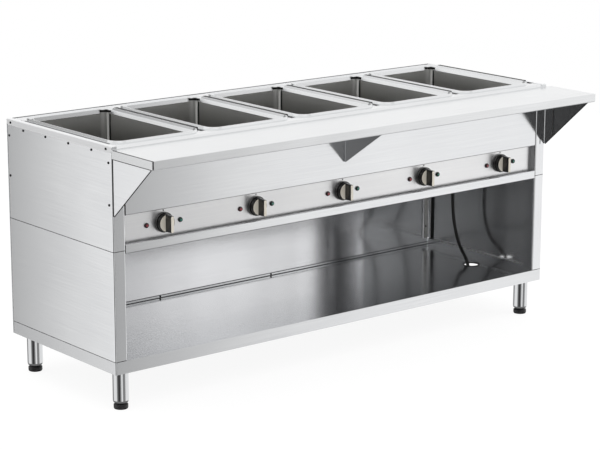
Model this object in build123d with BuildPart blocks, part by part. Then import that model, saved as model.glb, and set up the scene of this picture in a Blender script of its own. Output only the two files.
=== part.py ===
"""An electric steam table: five open wells, a work shelf along the front and an open cabinet below.

Millimetres, +Z up. The origin is on the floor under the middle of the table. The work shelf and the controls
face -Y, and the plain end that the shelf is flush with is at -X.
"""

import math
import os

from build123d import *

os.makedirs("parts", exist_ok=True)

# Main sizes
BODY_LENGTH = 1838.0
BODY_DEPTH = 600.0
BASE_HEIGHT = 126.0  # floor to the underside of the base
BODY_HEIGHT = 713.0  # underside of the base to the top of the end caps
SHELF_DEPTH = 214.0
SHELF_OVERHANG = 24.0  # the shelf passes the right end by this much
WELL_COUNT = 5
WELL_PITCH = 360.0
SHEET = 1.2
BEND = 2.4  # bend radius of a folded sheet, on its centre line
POST_BEND = 4.4  # the same at the body's upright corners
JOINT = 2.0  # open joint between neighbouring panels

# Planes of the body
LEFT = -(BODY_LENGTH + SHELF_OVERHANG) / 2
RIGHT = LEFT + BODY_LENGTH
SHELF_RIGHT = RIGHT + SHELF_OVERHANG
SHELF_FRONT = -(BODY_DEPTH + SHELF_DEPTH) / 2
FRONT = SHELF_FRONT + SHELF_DEPTH
REAR = FRONT + BODY_DEPTH
BACK_FACE = REAR - SHEET  # inner face of the back panels
MID_X = (LEFT + RIGHT) / 2
MID_Y = (FRONT + REAR) / 2
MIDDLE = Plane.YZ.offset(MID_X)
HALF_SHEET = SHEET / 2

# Heights above the floor
BASE_Z = BASE_HEIGHT
TRAY_FLOOR_Z = BASE_Z + 17.0
TRAY_TOP_Z = BASE_Z + 40.0
RAIL_Z = BASE_Z + 377.5
SEAM_Z = BASE_Z + 389.0
RAIL_TOP_Z = BASE_Z + 406.4
KNOB_Z = BASE_Z + 451.0
FASCIA_Z = BASE_Z + 496.6
CAP_Z = BASE_Z + 696.0
SHELF_Z = BASE_Z + 704.0
TOP_Z = BASE_Z + BODY_HEIGHT
DECK_Z = TOP_Z - SHEET
FLOOR_PANEL_Z = RAIL_Z + SHEET

# End panels and front
POST_WIDTH = 45.0
POST_RETURN = 50.0  # inside the open cabinet
REAR_RETURN = 30.0
POST_CORNER = POST_BEND + SHEET / 2  # outside
POST_LEFT = LEFT + POST_WIDTH
POST_RIGHT = RIGHT - POST_WIDTH
FRONT_SPAN = POST_RIGHT - POST_LEFT
STRIP_RECESS = 20.0
HOUSING_RETURN = STRIP_RECESS + SHEET  # the same return beside the control strip
STRIP_FACE = FRONT + STRIP_RECESS
STRIP_MARGIN = 14.0  # the strip reaches this far behind the fascia and the rail
FASCIA_RETURN = 15.0
RAIL_RETURN = 28.0
RAIL_LIP = 5.0
BACK_JOINT_X = LEFT + 1515.0

# Deck and wells
CAP_FLANGE = 19.0
OPENING_WIDTH = 305.0
OPENING_LENGTH = 508.0
OPENING_CORNER = 30.0
COLLAR_SHEET = 1.5
COLLAR_DROP = 12.5  # the collar is turned down this far, and leans in to the opening's size
COLLAR_LEAN = 15.0  # degrees
COLLAR_SPREAD = COLLAR_DROP * math.tan(math.radians(COLLAR_LEAN))
NOTCH_SIZE = 34.0  # at the corners, where the collar's four sides don't meet
NOTCH_INSET = 9.0
NOTCH_TOP = 0.8
RIM_RISE = 6.5
RIM_INSET = 3.5  # width of the rim's inner slope
RIM_FLAT = 2.0
RIM_SKIRT = 3.0  # width of its outer slope
FRONT_SLOPE = 7.0  # the deck's front edge slopes down to the work shelf
CHANNEL_WIDTH = 8.0
CHANNEL_DEPTH = 4.0
END_CHANNEL_WIDTH = 5.0
WELL_WIDTH = 317.0
WELL_LENGTH = 520.0
WELL_CORNER = 31.0
WELL_FLANGE = 10.0
WELL_COVE = 16.0
WELL_DEPTH = 200.0
WELL_TOP_Z = DECK_Z - SHEET
WELL_BOTTOM_Z = TOP_Z - WELL_DEPTH
INSULATION = 17.0
INSULATION_TOP_Z = DECK_Z - 25.0
ELEMENT_RADIUS = 5.0
ELEMENT_BEND = 22.0
ELEMENT_INSET = 70.0
ELEMENT_RISE = 24.0
ELEMENT_REST_WIDTH = 6.0
well_places = [(MID_X + (k - (WELL_COUNT - 1) / 2) * WELL_PITCH, MID_Y) for k in range(WELL_COUNT)]

# Base tray
TRAY_DEPTH = BODY_DEPTH - SHEET
TRAY_MID_Y = FRONT + TRAY_DEPTH / 2
TRAY_HEM = 18.0  # turned in under the tray all round
RAIL_HEM = 10.0  # turned in along the top of the tray's front
END_HEM = 4.0  # and of its ends
REAR_UPSTAND = 10.0
HOLE_X = LEFT + 1747.0
HOLE_Y = FRONT + 265.5
HOLE_RADIUS = 29.0

# Legs and feet
LEG_INSET = 50.0
LEG_RADIUS = 25.5
LEG_WALL = 1.5
LEG_Z = 22.0
LEG_TAPER = 6.0
LEG_NECK = 1.5
LEG_PLATE = 90.0
LEG_PLATE_THICKNESS = 3.0
LEG_PLATE_CORNER = 9.0
INSERT_HEIGHT = 24.0
STEM_RADIUS = 8.0
STEM_CLEARANCE = 0.05
STEM_LENGTH = 46.0
FOOT_RADIUS = 23.0
FOOT_NECK = 17.0
FOOT_RIM_Z = 13.0
FOOT_SHOULDER_Z = 18.0
FOOT_CHAMFER = (1.5, 3.0)

# Work shelf and brackets
SHELF_LIP = 27.0
BRACKET_SHEET = 2.0
BRACKET_BEND = 4.0
BRACKET_FLANGE = 22.0
BRACKET_NOSE = 1.5
END_BRACKET_REACH = 204.0
END_BRACKET_Z = BASE_Z + 500.0
MIDDLE_BRACKET_X = MID_X - 10.0  # its left face
MIDDLE_BRACKET_REACH = 193.0
MIDDLE_BRACKET_Z = BASE_Z + 552.0

# Controls, measured from the strip's face
LAMP_OFFSET = 63.5
LAMP_Z = KNOB_Z - 1.5
LAMP_RADIUS = 6.0
LAMP_LENS = 7.2
LAMP_BEZEL = 8.2
LAMP_BEZEL_HEIGHT = 1.6
LAMP_RISE = 6.5
LAMP_DOME = 3.5
LAMP_TAIL = 20.0
KNOB_GAP = 1.0
SKIRT_RADIUS = 32.0
SKIRT_HEIGHT = 7.0
BARREL_RADIUS = 29.5
BARREL_HEIGHT = 12.5
BARREL_TAPER = 6.0
GRIP_WIDTH = 13.0
GRIP_LENGTH = 55.0
GRIP_CORNER = 4.0
GRIP_HEIGHT = 27.5
GRIP_TAPER = 2.0
FACE_RADIUS = 26.5
FACE_THICKNESS = 1.0
TRIM_WIDTH = 9.6  # the metal strip along the grip
TRIM_LENGTH = 51.0
TRIM_CORNER = 3.0
SPINDLE_RADIUS = 3.0
SPINDLE_CLEARANCE = 0.05
SPINDLE_FLAT = 1.5  # from the axis to the flat of the D
SPINDLE_REACH = 16.0  # into the knob
SPINDLE_TAIL = 24.0  # into the thermostat
SPINDLE_HOLE = 5.0
THERMOSTAT_SIZE = (42.0, 36.0, 32.0)

# Supply
GLAND_X = LEFT + 1755.0
GLAND_Y = FRONT + 380.0
GLAND_HOLE = 10.0
GLAND_FLANGE = 15.0
GLAND_RISE = 8.0
GLAND_DROP = 23.5
GLAND_NOSE = 11.2
GLAND_TAPER = 2.0
TERMINAL_SIZE = (64.0, 38.0, 26.0)
TERMINAL_OFFSET = 70.0
GROMMET_FLANGE = 31.0
GROMMET_BORE = 27.0
GROMMET_LIP = 1.6
CORD_DIAMETER = 12.0
CORD_RADIUS = CORD_DIAMETER / 2
RUN_SHARE = 0.45  # share of its shorter run that a corner of the cord takes up
COIL_X = LEFT + 1639.0
COIL_Y = FRONT + 606.0
COIL_Z = 7.4
COIL_RADIUS = 73.0
COIL_STEP = 8.0  # drawn in or let out by this much each half turn
COIL_LAYER = 12.6  # from the turns on the floor up to those on top
COIL_LAST_RADIUS = 70.0
COIL_TAIL = 66.0
GAP_SAMPLES = 360
TIE_THICKNESS = 0.8
TIE_WIDTH = 8.0
TIE_GAP = 0.5
PLUG_SIZE = 38.0
PLUG_CORNER = 9.0
PLUG_LENGTH = 40.0
PLUG_NECK = 22.0
PLUG_NECK_RADIUS = 10.0
BLADE_SECTION = (6.4, 1.6)
BLADE_LENGTH = 18.0
BLADE_OFFSET = 9.5
EARTH_RADIUS = 2.4
EARTH_LENGTH = 21.0

# The cord's route from the gland, down through the grommet and back under the table to its coil
cord_route = [
    (GLAND_X, GLAND_Y, FLOOR_PANEL_Z - GLAND_DROP),
    (GLAND_X, GLAND_Y, 405),
    (827, 188, 330),
    (829, 178, 262),
    (826, 148, 198),
    (811, 88, 156),
    (807, 72, 109),
    (804, 89, 62),
    (801, 131, 35),
    (797, 190, 21),
    (792, 250, 13),
    (786, 305, 8.6),
    (COIL_X + COIL_RADIUS, 350, COIL_Z),
    (COIL_X + COIL_RADIUS, COIL_Y - CORD_DIAMETER, COIL_Z),
]


def save(piece, label):
    """Names a finished piece and writes it as one STEP file."""
    piece.part.label = label
    export_step(piece.part, f"parts/{label}.step")


def folded(plane, *points, sheet=SHEET, bend=BEND):
    """Draws a folded sheet's section along the centre line through the given points."""
    with BuildSketch(plane) as section:
        with BuildLine():
            FilletPolyline(*points, radius=bend)
        trace(line_width=sheet)
    return section.sketch


def facing_front(x, y, z):
    """Gives a plane at a point, with its normal to the front and its own y upwards."""
    return Plane(origin=(x, y, z), x_dir=(1, 0, 0), z_dir=(0, -1, 0))


def save_pair(left_piece, label):
    """Writes a left piece and its mirror image at the right end."""
    save(left_piece, f"{label}_left")
    with BuildPart() as right_piece:
        mirror(left_piece.part, about=MIDDLE)
    save(right_piece, f"{label}_right")


# End panels: a side wall folded round the front corner as a post, and a return along the back
end_panels = (
    ("lower_end", TRAY_TOP_Z + JOINT, SEAM_Z - JOINT, POST_RETURN),
    ("upper_end", SEAM_Z, CAP_Z - JOINT, HOUSING_RETURN),
)
for label, bottom, top, post_return in end_panels:
    with BuildPart() as end_panel:
        wall = folded(
            Plane.XY.offset(bottom),
            (POST_LEFT - HALF_SHEET, FRONT + post_return),
            (POST_LEFT - HALF_SHEET, FRONT + HALF_SHEET),
            (LEFT + HALF_SHEET, FRONT + HALF_SHEET),
            (LEFT + HALF_SHEET, BACK_FACE - HALF_SHEET),
            (LEFT + REAR_RETURN, BACK_FACE - HALF_SHEET),
            bend=POST_BEND,
        )
        extrude(wall, amount=top - bottom)
    save_pair(end_panel, label)

# End caps: an angle over each end of the deck
with BuildPart() as end_cap:
    angle = folded(
        Plane.XZ.offset(-REAR),
        (LEFT + HALF_SHEET, CAP_Z),
        (LEFT + HALF_SHEET, TOP_Z - HALF_SHEET),
        (LEFT + CAP_FLANGE, TOP_Z - HALF_SHEET),
    )
    extrude(angle, amount=BODY_DEPTH)
save_pair(end_cap, "end_cap")

# Back panels: one above, and two below that meet at the access joint
back_panels = (
    ("back_upper", LEFT, RIGHT, SEAM_Z, CAP_Z),
    ("back_lower_main", LEFT, BACK_JOINT_X, BASE_Z, SEAM_Z),
    ("back_lower_access", BACK_JOINT_X, RIGHT, BASE_Z, SEAM_Z),
)
for label, start, end, bottom, top in back_panels:
    with BuildPart() as back_panel:
        with BuildSketch(facing_front((start + end) / 2, REAR, (bottom + top) / 2)):
            Rectangle(end - start, top - bottom)
        extrude(amount=SHEET)
    save(back_panel, label)

# Front fascia, folded back at its top and at its foot
with BuildPart() as front_fascia:
    fascia_section = folded(
        Plane.YZ.offset(POST_LEFT + JOINT),
        (FRONT + FASCIA_RETURN, CAP_Z - HALF_SHEET),
        (FRONT + HALF_SHEET, CAP_Z - HALF_SHEET),
        (FRONT + HALF_SHEET, FASCIA_Z + HALF_SHEET),
        (STRIP_FACE, FASCIA_Z + HALF_SHEET),
    )
    extrude(fascia_section, amount=FRONT_SPAN - 2 * JOINT)
save(front_fascia, "front_fascia")

# Front rail under the control strip, which it leaves a slot to
with BuildPart() as front_rail:
    rail_section = folded(
        Plane.YZ.offset(POST_LEFT),
        (FRONT + RAIL_RETURN, RAIL_Z + HALF_SHEET),
        (FRONT + HALF_SHEET, RAIL_Z + HALF_SHEET),
        (FRONT + HALF_SHEET, RAIL_TOP_Z - HALF_SHEET),
        (FRONT + RAIL_LIP, RAIL_TOP_Z - HALF_SHEET),
    )
    extrude(rail_section, amount=FRONT_SPAN)
save(front_rail, "front_rail")

# Control strip, pierced for the spindles and the lamps
strip_bottom = RAIL_TOP_Z - STRIP_MARGIN
strip_top = FASCIA_Z + STRIP_MARGIN
with BuildPart() as control_panel:
    with BuildSketch(facing_front(MID_X, STRIP_FACE + SHEET, 0)):
        with Locations((0, (strip_bottom + strip_top) / 2)):
            Rectangle(FRONT_SPAN, strip_top - strip_bottom)
        for well_x, _ in well_places:
            with Locations((well_x - MID_X, KNOB_Z)):
                Circle(SPINDLE_HOLE, mode=Mode.SUBTRACT)
            with Locations((well_x - MID_X - LAMP_OFFSET, LAMP_Z), (well_x - MID_X + LAMP_OFFSET, LAMP_Z)):
                Circle(LAMP_RADIUS, mode=Mode.SUBTRACT)
    extrude(amount=SHEET)
save(control_panel, "control_panel")

# Floor of the heated housing, notched round the posts and the rear returns
with BuildPart() as housing_floor:
    with BuildSketch(Plane.XY.offset(FLOOR_PANEL_Z)):
        with Locations((MID_X, (FRONT + BEND + SHEET + BACK_FACE) / 2)):
            Rectangle(BODY_LENGTH - 2 * SHEET, BODY_DEPTH - 2 * SHEET - BEND)
        with Locations((LEFT, FRONT), (RIGHT, FRONT)):
            Rectangle(2 * POST_WIDTH, 2 * POST_RETURN, mode=Mode.SUBTRACT)
        with Locations((LEFT, BACK_FACE), (RIGHT, BACK_FACE)):
            Rectangle(2 * (REAR_RETURN + SHEET), 2 * (POST_BEND + SHEET), mode=Mode.SUBTRACT)
        with Locations((GLAND_X, GLAND_Y)):
            Circle(GLAND_HOLE, mode=Mode.SUBTRACT)
    extrude(amount=SHEET)
save(housing_floor, "housing_floor")

# Base tray: a raised floor inside a folded band, with the hole that the cord goes down
with BuildPart() as base_tray:
    with BuildSketch(Plane.XY.offset(BASE_Z)):
        with Locations((MID_X, TRAY_MID_Y)):
            RectangleRounded(BODY_LENGTH, TRAY_DEPTH, POST_CORNER)
    extrude(amount=TRAY_TOP_Z - BASE_Z)
    tray_cuts = (
        (TRAY_FLOOR_Z, TRAY_TOP_Z, SHEET),
        (BASE_Z + SHEET, TRAY_FLOOR_Z - SHEET, SHEET),
        (BASE_Z, BASE_Z + SHEET, TRAY_HEM),
    )
    for bottom, top, margin in tray_cuts:
        with BuildSketch(Plane.XY.offset(bottom)):
            with Locations((MID_X, TRAY_MID_Y)):
                RectangleRounded(BODY_LENGTH - 2 * margin, TRAY_DEPTH - 2 * margin, POST_CORNER - SHEET)
        extrude(amount=top - bottom, mode=Mode.SUBTRACT)
    with BuildSketch(Plane.XY.offset(TRAY_FLOOR_Z + REAR_UPSTAND)):
        with Locations((MID_X, BACK_FACE)):
            Rectangle(BODY_LENGTH - 2 * SHEET, 2 * SHEET)
    extrude(amount=TRAY_TOP_Z, mode=Mode.SUBTRACT)
    with BuildSketch(Plane.XY.offset(TRAY_TOP_Z - SHEET)):
        with Locations((MID_X, FRONT + RAIL_HEM / 2 + HALF_SHEET)):
            Rectangle(BODY_LENGTH - 2 * POST_CORNER, RAIL_HEM)
        with Locations((MID_X, TRAY_MID_Y)):
            with GridLocations(BODY_LENGTH - END_HEM - SHEET, 0, 2, 1):
                Rectangle(END_HEM, TRAY_DEPTH - 2 * POST_CORNER)
    extrude(amount=SHEET)
    with BuildSketch(Plane.XY.offset(TRAY_FLOOR_Z)):
        with Locations((HOLE_X, HOLE_Y)):
            Circle(HOLE_RADIUS)
    extrude(amount=-SHEET, mode=Mode.SUBTRACT)
save(base_tray, "base_tray")


def opening_outline(place, height, spread):
    """Draws the opening of a well, larger by a spread all round, at a height."""
    with BuildSketch(Plane.XY.offset(height)) as outline:
        with Locations(place):
            RectangleRounded(OPENING_WIDTH + 2 * spread, OPENING_LENGTH + 2 * spread, OPENING_CORNER + spread)
    return outline.sketch


# Deck: a shallow pan turned over, its front edge sloped. Each opening has a raised rim with sloping sides and a
# collar turned down inside it, and there are channels between the openings and beside the end caps.
channel_places = [(MID_X + (k - (WELL_COUNT - 2) / 2) * WELL_PITCH, MID_Y) for k in range(WELL_COUNT - 1)]
end_channel_shift = CAP_FLANGE + END_CHANNEL_WIDTH / 2
end_channel_places = [(LEFT + end_channel_shift, MID_Y), (RIGHT - end_channel_shift, MID_Y)]
rim_z = DECK_Z + RIM_RISE
collar_z = DECK_Z - COLLAR_DROP
rim_spread = COLLAR_SPREAD + RIM_INSET
with BuildPart() as deck:
    with BuildSketch(Plane.XY.offset(CAP_Z)):
        with Locations((MID_X, MID_Y)):
            Rectangle(BODY_LENGTH - 2 * SHEET, BODY_DEPTH)
    extrude(amount=DECK_Z - CAP_Z)
    chamfer(deck.faces().sort_by(Axis.Z)[-1].edges().sort_by(Axis.Y)[0], length=FRONT_SLOPE)
    offset(amount=-SHEET, openings=deck.faces().sort_by(Axis.Z)[0])
    fillet(deck.faces().sort_by(Axis.Z)[-1].edges(), radius=BEND - HALF_SHEET)
    for place in well_places:
        loft([
            opening_outline(place, DECK_Z, rim_spread + RIM_FLAT + RIM_SKIRT),
            opening_outline(place, rim_z, rim_spread + RIM_FLAT),
        ])
        loft([
            opening_outline(place, collar_z, COLLAR_SHEET),
            opening_outline(place, DECK_Z, COLLAR_SPREAD + COLLAR_SHEET),
        ])
        collar_top = opening_outline(place, DECK_Z, COLLAR_SPREAD)
        loft([opening_outline(place, collar_z, 0), collar_top], mode=Mode.SUBTRACT)
        loft([collar_top, opening_outline(place, rim_z, rim_spread)], mode=Mode.SUBTRACT)
    with BuildSketch(Plane.XY.offset(collar_z)):
        with Locations(*well_places):
            with GridLocations(OPENING_WIDTH - 2 * NOTCH_INSET, OPENING_LENGTH - 2 * NOTCH_INSET, 2, 2):
                Rectangle(NOTCH_SIZE, NOTCH_SIZE)
    extrude(amount=COLLAR_DROP - SHEET - NOTCH_TOP, mode=Mode.SUBTRACT)
    for places, width in ((channel_places, CHANNEL_WIDTH), (end_channel_places, END_CHANNEL_WIDTH)):
        with BuildSketch(Plane.XY.offset(DECK_Z - CHANNEL_DEPTH - SHEET)):
            with Locations(*places):
                Rectangle(width + 2 * SHEET, OPENING_LENGTH + 2 * SHEET)
        extrude(amount=CHANNEL_DEPTH)
        with BuildSketch(Plane.XY.offset(DECK_Z - CHANNEL_DEPTH)):
            with Locations(*places):
                Rectangle(width, OPENING_LENGTH)
        extrude(amount=CHANNEL_DEPTH, mode=Mode.SUBTRACT)
save(deck, "deck")

# Wells: deep pans with coved bottoms, hung by a flange under the deck
for number, place in enumerate(well_places, start=1):
    with BuildPart() as well:
        with BuildSketch(Plane.XY.offset(WELL_BOTTOM_Z - SHEET)):
            with Locations(place):
                RectangleRounded(WELL_WIDTH + 2 * SHEET, WELL_LENGTH + 2 * SHEET, WELL_CORNER + SHEET)
        extrude(amount=WELL_TOP_Z - WELL_BOTTOM_Z + SHEET)
        fillet(well.faces().sort_by(Axis.Z)[0].edges(), radius=WELL_COVE + SHEET)
        offset(amount=-SHEET, openings=well.faces().sort_by(Axis.Z)[-1])
        with BuildSketch(Plane.XY.offset(WELL_TOP_Z - SHEET)):
            with Locations(place):
                RectangleRounded(
                    WELL_WIDTH + 2 * WELL_FLANGE,
                    WELL_LENGTH + 2 * WELL_FLANGE,
                    WELL_CORNER + WELL_FLANGE,
                )
                RectangleRounded(WELL_WIDTH, WELL_LENGTH, WELL_CORNER, mode=Mode.SUBTRACT)
        extrude(amount=SHEET)
    save(well, f"well_{number}")

# Heating elements: one bent tube in each well, carried by two rests on the bottom
element_z = WELL_BOTTOM_Z + ELEMENT_RISE
element_front = -WELL_LENGTH / 2
element_rear = WELL_LENGTH / 2 - ELEMENT_INSET
element_outer = WELL_WIDTH / 2 - ELEMENT_INSET
element_inner = ELEMENT_BEND + ELEMENT_RADIUS
with BuildPart() as heating_elements:
    for well_x, well_y in well_places:
        with BuildLine(Plane((well_x, well_y, element_z))) as element_path:
            FilletPolyline(
                (-element_outer, element_front),
                (-element_outer, element_rear),
                (-element_inner, element_rear),
                (-element_inner, element_front + ELEMENT_INSET),
                (element_inner, element_front + ELEMENT_INSET),
                (element_inner, element_rear),
                (element_outer, element_rear),
                (element_outer, element_front),
                radius=ELEMENT_BEND,
            )
        with BuildSketch(Plane(origin=element_path.line @ 0, z_dir=element_path.line % 0)):
            Circle(ELEMENT_RADIUS)
        sweep(path=element_path.line)
        with BuildSketch(Plane.XY.offset(WELL_BOTTOM_Z)):
            with Locations((well_x, well_y)):
                with GridLocations(0, OPENING_LENGTH / 2, 1, 2):
                    Rectangle(2 * element_outer, ELEMENT_REST_WIDTH)
        extrude(amount=ELEMENT_RISE - ELEMENT_RADIUS / 2)
save(heating_elements, "heating_elements")

# Insulation: an open box of board round each well
with BuildPart() as insulation:
    with BuildSketch(Plane.XY.offset(WELL_BOTTOM_Z - SHEET - INSULATION)):
        with Locations(*well_places):
            Rectangle(WELL_WIDTH + 2 * (SHEET + INSULATION), WELL_LENGTH + 2 * (SHEET + INSULATION))
    extrude(amount=INSULATION_TOP_Z - WELL_BOTTOM_Z + SHEET + INSULATION)
    with BuildSketch(Plane.XY.offset(WELL_BOTTOM_Z - SHEET)):
        with Locations(*well_places):
            RectangleRounded(WELL_WIDTH + 2 * SHEET, WELL_LENGTH + 2 * SHEET, WELL_CORNER + SHEET)
    extrude(amount=INSULATION_TOP_Z - WELL_BOTTOM_Z + SHEET, mode=Mode.SUBTRACT)
save(insulation, "insulation")

# Legs: a tube with a necked-in end and a threaded insert, welded to a top plate, and a foot in each
leg_places = {
    "front_left": (LEFT + LEG_INSET, FRONT + LEG_INSET),
    "front_right": (RIGHT - LEG_INSET, FRONT + LEG_INSET),
    "rear_left": (LEFT + LEG_INSET, REAR - LEG_INSET),
    "rear_right": (RIGHT - LEG_INSET, REAR - LEG_INSET),
}
plate_top = TRAY_FLOOR_Z - SHEET
plate_bottom = plate_top - LEG_PLATE_THICKNESS
bore_radius = STEM_RADIUS + STEM_CLEARANCE
foot_chamfer_width, foot_chamfer_height = FOOT_CHAMFER
for corner, (leg_x, leg_y) in leg_places.items():
    with BuildPart() as leg:
        with BuildSketch(Plane((leg_x, leg_y, 0), x_dir=(1, 0, 0), z_dir=(0, -1, 0))):
            with BuildLine():
                Polyline(
                    (bore_radius, LEG_Z),
                    (LEG_RADIUS - LEG_NECK, LEG_Z),
                    (LEG_RADIUS, LEG_Z + LEG_TAPER),
                    (LEG_RADIUS, plate_bottom),
                    (LEG_RADIUS - LEG_WALL, plate_bottom),
                    (LEG_RADIUS - LEG_WALL, LEG_Z + INSERT_HEIGHT),
                    (bore_radius, LEG_Z + INSERT_HEIGHT),
                    close=True,
                )
            make_face()
        revolve(axis=Axis((leg_x, leg_y, 0), (0, 0, 1)))
        with BuildSketch(Plane.XY.offset(plate_bottom)):
            with Locations((leg_x, leg_y)):
                RectangleRounded(LEG_PLATE, LEG_PLATE, LEG_PLATE_CORNER)
        extrude(amount=LEG_PLATE_THICKNESS)
    save(leg, f"leg_{corner}")
    with BuildPart() as foot:
        with BuildSketch(Plane((leg_x, leg_y, 0), x_dir=(1, 0, 0), z_dir=(0, -1, 0))):
            with BuildLine():
                Polyline(
                    (0, 0),
                    (FOOT_RADIUS - foot_chamfer_width, 0),
                    (FOOT_RADIUS, foot_chamfer_height),
                    (FOOT_RADIUS, FOOT_RIM_Z),
                    (FOOT_NECK, FOOT_SHOULDER_Z),
                    (FOOT_NECK, LEG_Z),
                    (STEM_RADIUS, LEG_Z),
                    (STEM_RADIUS, LEG_Z + STEM_LENGTH),
                    (0, LEG_Z + STEM_LENGTH),
                    close=True,
                )
            make_face()
        revolve(axis=Axis((leg_x, leg_y, 0), (0, 0, 1)))
    save(foot, f"foot_{corner}")

# Work shelf: a long shallow pan, open below
with BuildPart() as work_shelf:
    with BuildSketch(Plane.XY.offset(SHELF_Z - SHELF_LIP)):
        with Locations(((LEFT + SHELF_RIGHT) / 2, (SHELF_FRONT + FRONT) / 2)):
            Rectangle(SHELF_RIGHT - LEFT, SHELF_DEPTH)
    extrude(amount=SHELF_LIP)
    offset(amount=-SHEET, openings=work_shelf.faces().sort_by(Axis.Z)[0])
    fillet(work_shelf.faces().sort_by(Axis.Z)[-1].edges(), radius=BEND - HALF_SHEET)
save(work_shelf, "work_shelf")

# Shelf brackets: triangular plates, folded along the body into a flange, with another flange under the shelf
bracket_top = SHELF_Z - SHEET
lip_z = SHELF_Z - SHELF_LIP
flange_y = FRONT - BRACKET_SHEET / 2
plate_rear = FRONT - BRACKET_SHEET - BRACKET_BEND
bracket_places = (
    ("bracket_left", LEFT + SHEET, 1, END_BRACKET_REACH, END_BRACKET_Z),
    ("bracket_middle", MIDDLE_BRACKET_X, 1, MIDDLE_BRACKET_REACH, MIDDLE_BRACKET_Z),
    ("bracket_right", RIGHT, -1, END_BRACKET_REACH, END_BRACKET_Z),
)
for label, plate_x, side, reach, bottom in bracket_places:
    plate_middle = plate_x + side * BRACKET_SHEET / 2
    with BuildPart() as bracket:
        rear_fold = folded(
            Plane.XY.offset(bottom),
            (plate_x + side * BRACKET_FLANGE, flange_y),
            (plate_middle, flange_y),
            (plate_middle, plate_rear - HALF_SHEET),
            sheet=BRACKET_SHEET,
            bend=BRACKET_BEND,
        )
        extrude(rear_fold, amount=lip_z - bottom)
        with BuildSketch(Plane.YZ.offset(plate_x)):
            with BuildLine():
                Polyline(
                    (plate_rear, bottom),
                    (plate_rear, bracket_top),
                    (FRONT - reach, bracket_top),
                    (FRONT - reach, lip_z - BRACKET_NOSE),
                    close=True,
                )
            make_face()
        extrude(amount=side * BRACKET_SHEET)
        with BuildSketch(Plane.YZ.offset(plate_x)):
            with Locations((FRONT - SHEET - reach / 2, bracket_top - BRACKET_SHEET / 2)):
                Rectangle(reach - BRACKET_FLANGE, BRACKET_SHEET)
        extrude(amount=side * BRACKET_FLANGE)
    save(bracket, label)

# Knobs, their trim, their spindles and the lamps beside them
grip_start = KNOB_GAP + SKIRT_HEIGHT + BARREL_HEIGHT
for number, (knob_x, _) in enumerate(well_places, start=1):
    with BuildPart() as knob:
        with BuildSketch(facing_front(knob_x, STRIP_FACE - KNOB_GAP, KNOB_Z)):
            Circle(SKIRT_RADIUS)
        extrude(amount=SKIRT_HEIGHT)
        with BuildSketch(facing_front(knob_x, STRIP_FACE - KNOB_GAP - SKIRT_HEIGHT, KNOB_Z)):
            Circle(BARREL_RADIUS)
        extrude(amount=BARREL_HEIGHT, taper=BARREL_TAPER)
        with BuildSketch(facing_front(knob_x, STRIP_FACE - grip_start, KNOB_Z)):
            RectangleRounded(GRIP_WIDTH, GRIP_LENGTH, GRIP_CORNER)
        extrude(amount=GRIP_HEIGHT, taper=GRIP_TAPER)
        with BuildSketch(facing_front(knob_x, STRIP_FACE - KNOB_GAP, KNOB_Z)):
            Circle(SPINDLE_RADIUS)
            with Locations((0, SPINDLE_FLAT + SPINDLE_RADIUS)):
                Rectangle(2 * SPINDLE_RADIUS, 2 * SPINDLE_RADIUS, mode=Mode.SUBTRACT)
        extrude(amount=SPINDLE_REACH, mode=Mode.SUBTRACT)
    save(knob, f"knob_{number}")
    with BuildPart() as knob_face:
        with BuildSketch(facing_front(knob_x, STRIP_FACE - grip_start, KNOB_Z)):
            Circle(FACE_RADIUS)
            Rectangle(GRIP_WIDTH, 2 * FACE_RADIUS, mode=Mode.SUBTRACT)
        extrude(amount=FACE_THICKNESS)
        with BuildSketch(facing_front(knob_x, STRIP_FACE - grip_start - GRIP_HEIGHT, KNOB_Z)):
            RectangleRounded(TRIM_WIDTH, TRIM_LENGTH, TRIM_CORNER)
        extrude(amount=FACE_THICKNESS)
    save(knob_face, f"knob_face_{number}")
    with BuildPart() as spindle:
        with BuildSketch(facing_front(knob_x, STRIP_FACE - KNOB_GAP, KNOB_Z)):
            Circle(SPINDLE_RADIUS)
        extrude(amount=-KNOB_GAP - SHEET - SPINDLE_TAIL)
        with BuildSketch(facing_front(knob_x, STRIP_FACE - KNOB_GAP, KNOB_Z)):
            Circle(SPINDLE_RADIUS)
            with Locations((0, SPINDLE_FLAT + SPINDLE_RADIUS)):
                Rectangle(2 * SPINDLE_RADIUS, 2 * SPINDLE_RADIUS, mode=Mode.SUBTRACT)
        extrude(amount=SPINDLE_REACH)
    save(spindle, f"spindle_{number}")

thermostat_width, thermostat_height, thermostat_depth = THERMOSTAT_SIZE
with BuildPart() as thermostats:
    for knob_x, _ in well_places:
        with BuildSketch(facing_front(knob_x, STRIP_FACE + SHEET, KNOB_Z)):
            Rectangle(thermostat_width, thermostat_height)
        extrude(amount=-thermostat_depth)
        with BuildSketch(facing_front(knob_x, STRIP_FACE + SHEET, KNOB_Z)):
            Circle(SPINDLE_RADIUS + SPINDLE_CLEARANCE)
        extrude(amount=-SPINDLE_TAIL - KNOB_GAP, mode=Mode.SUBTRACT)
save(thermostats, "thermostats")

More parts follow.
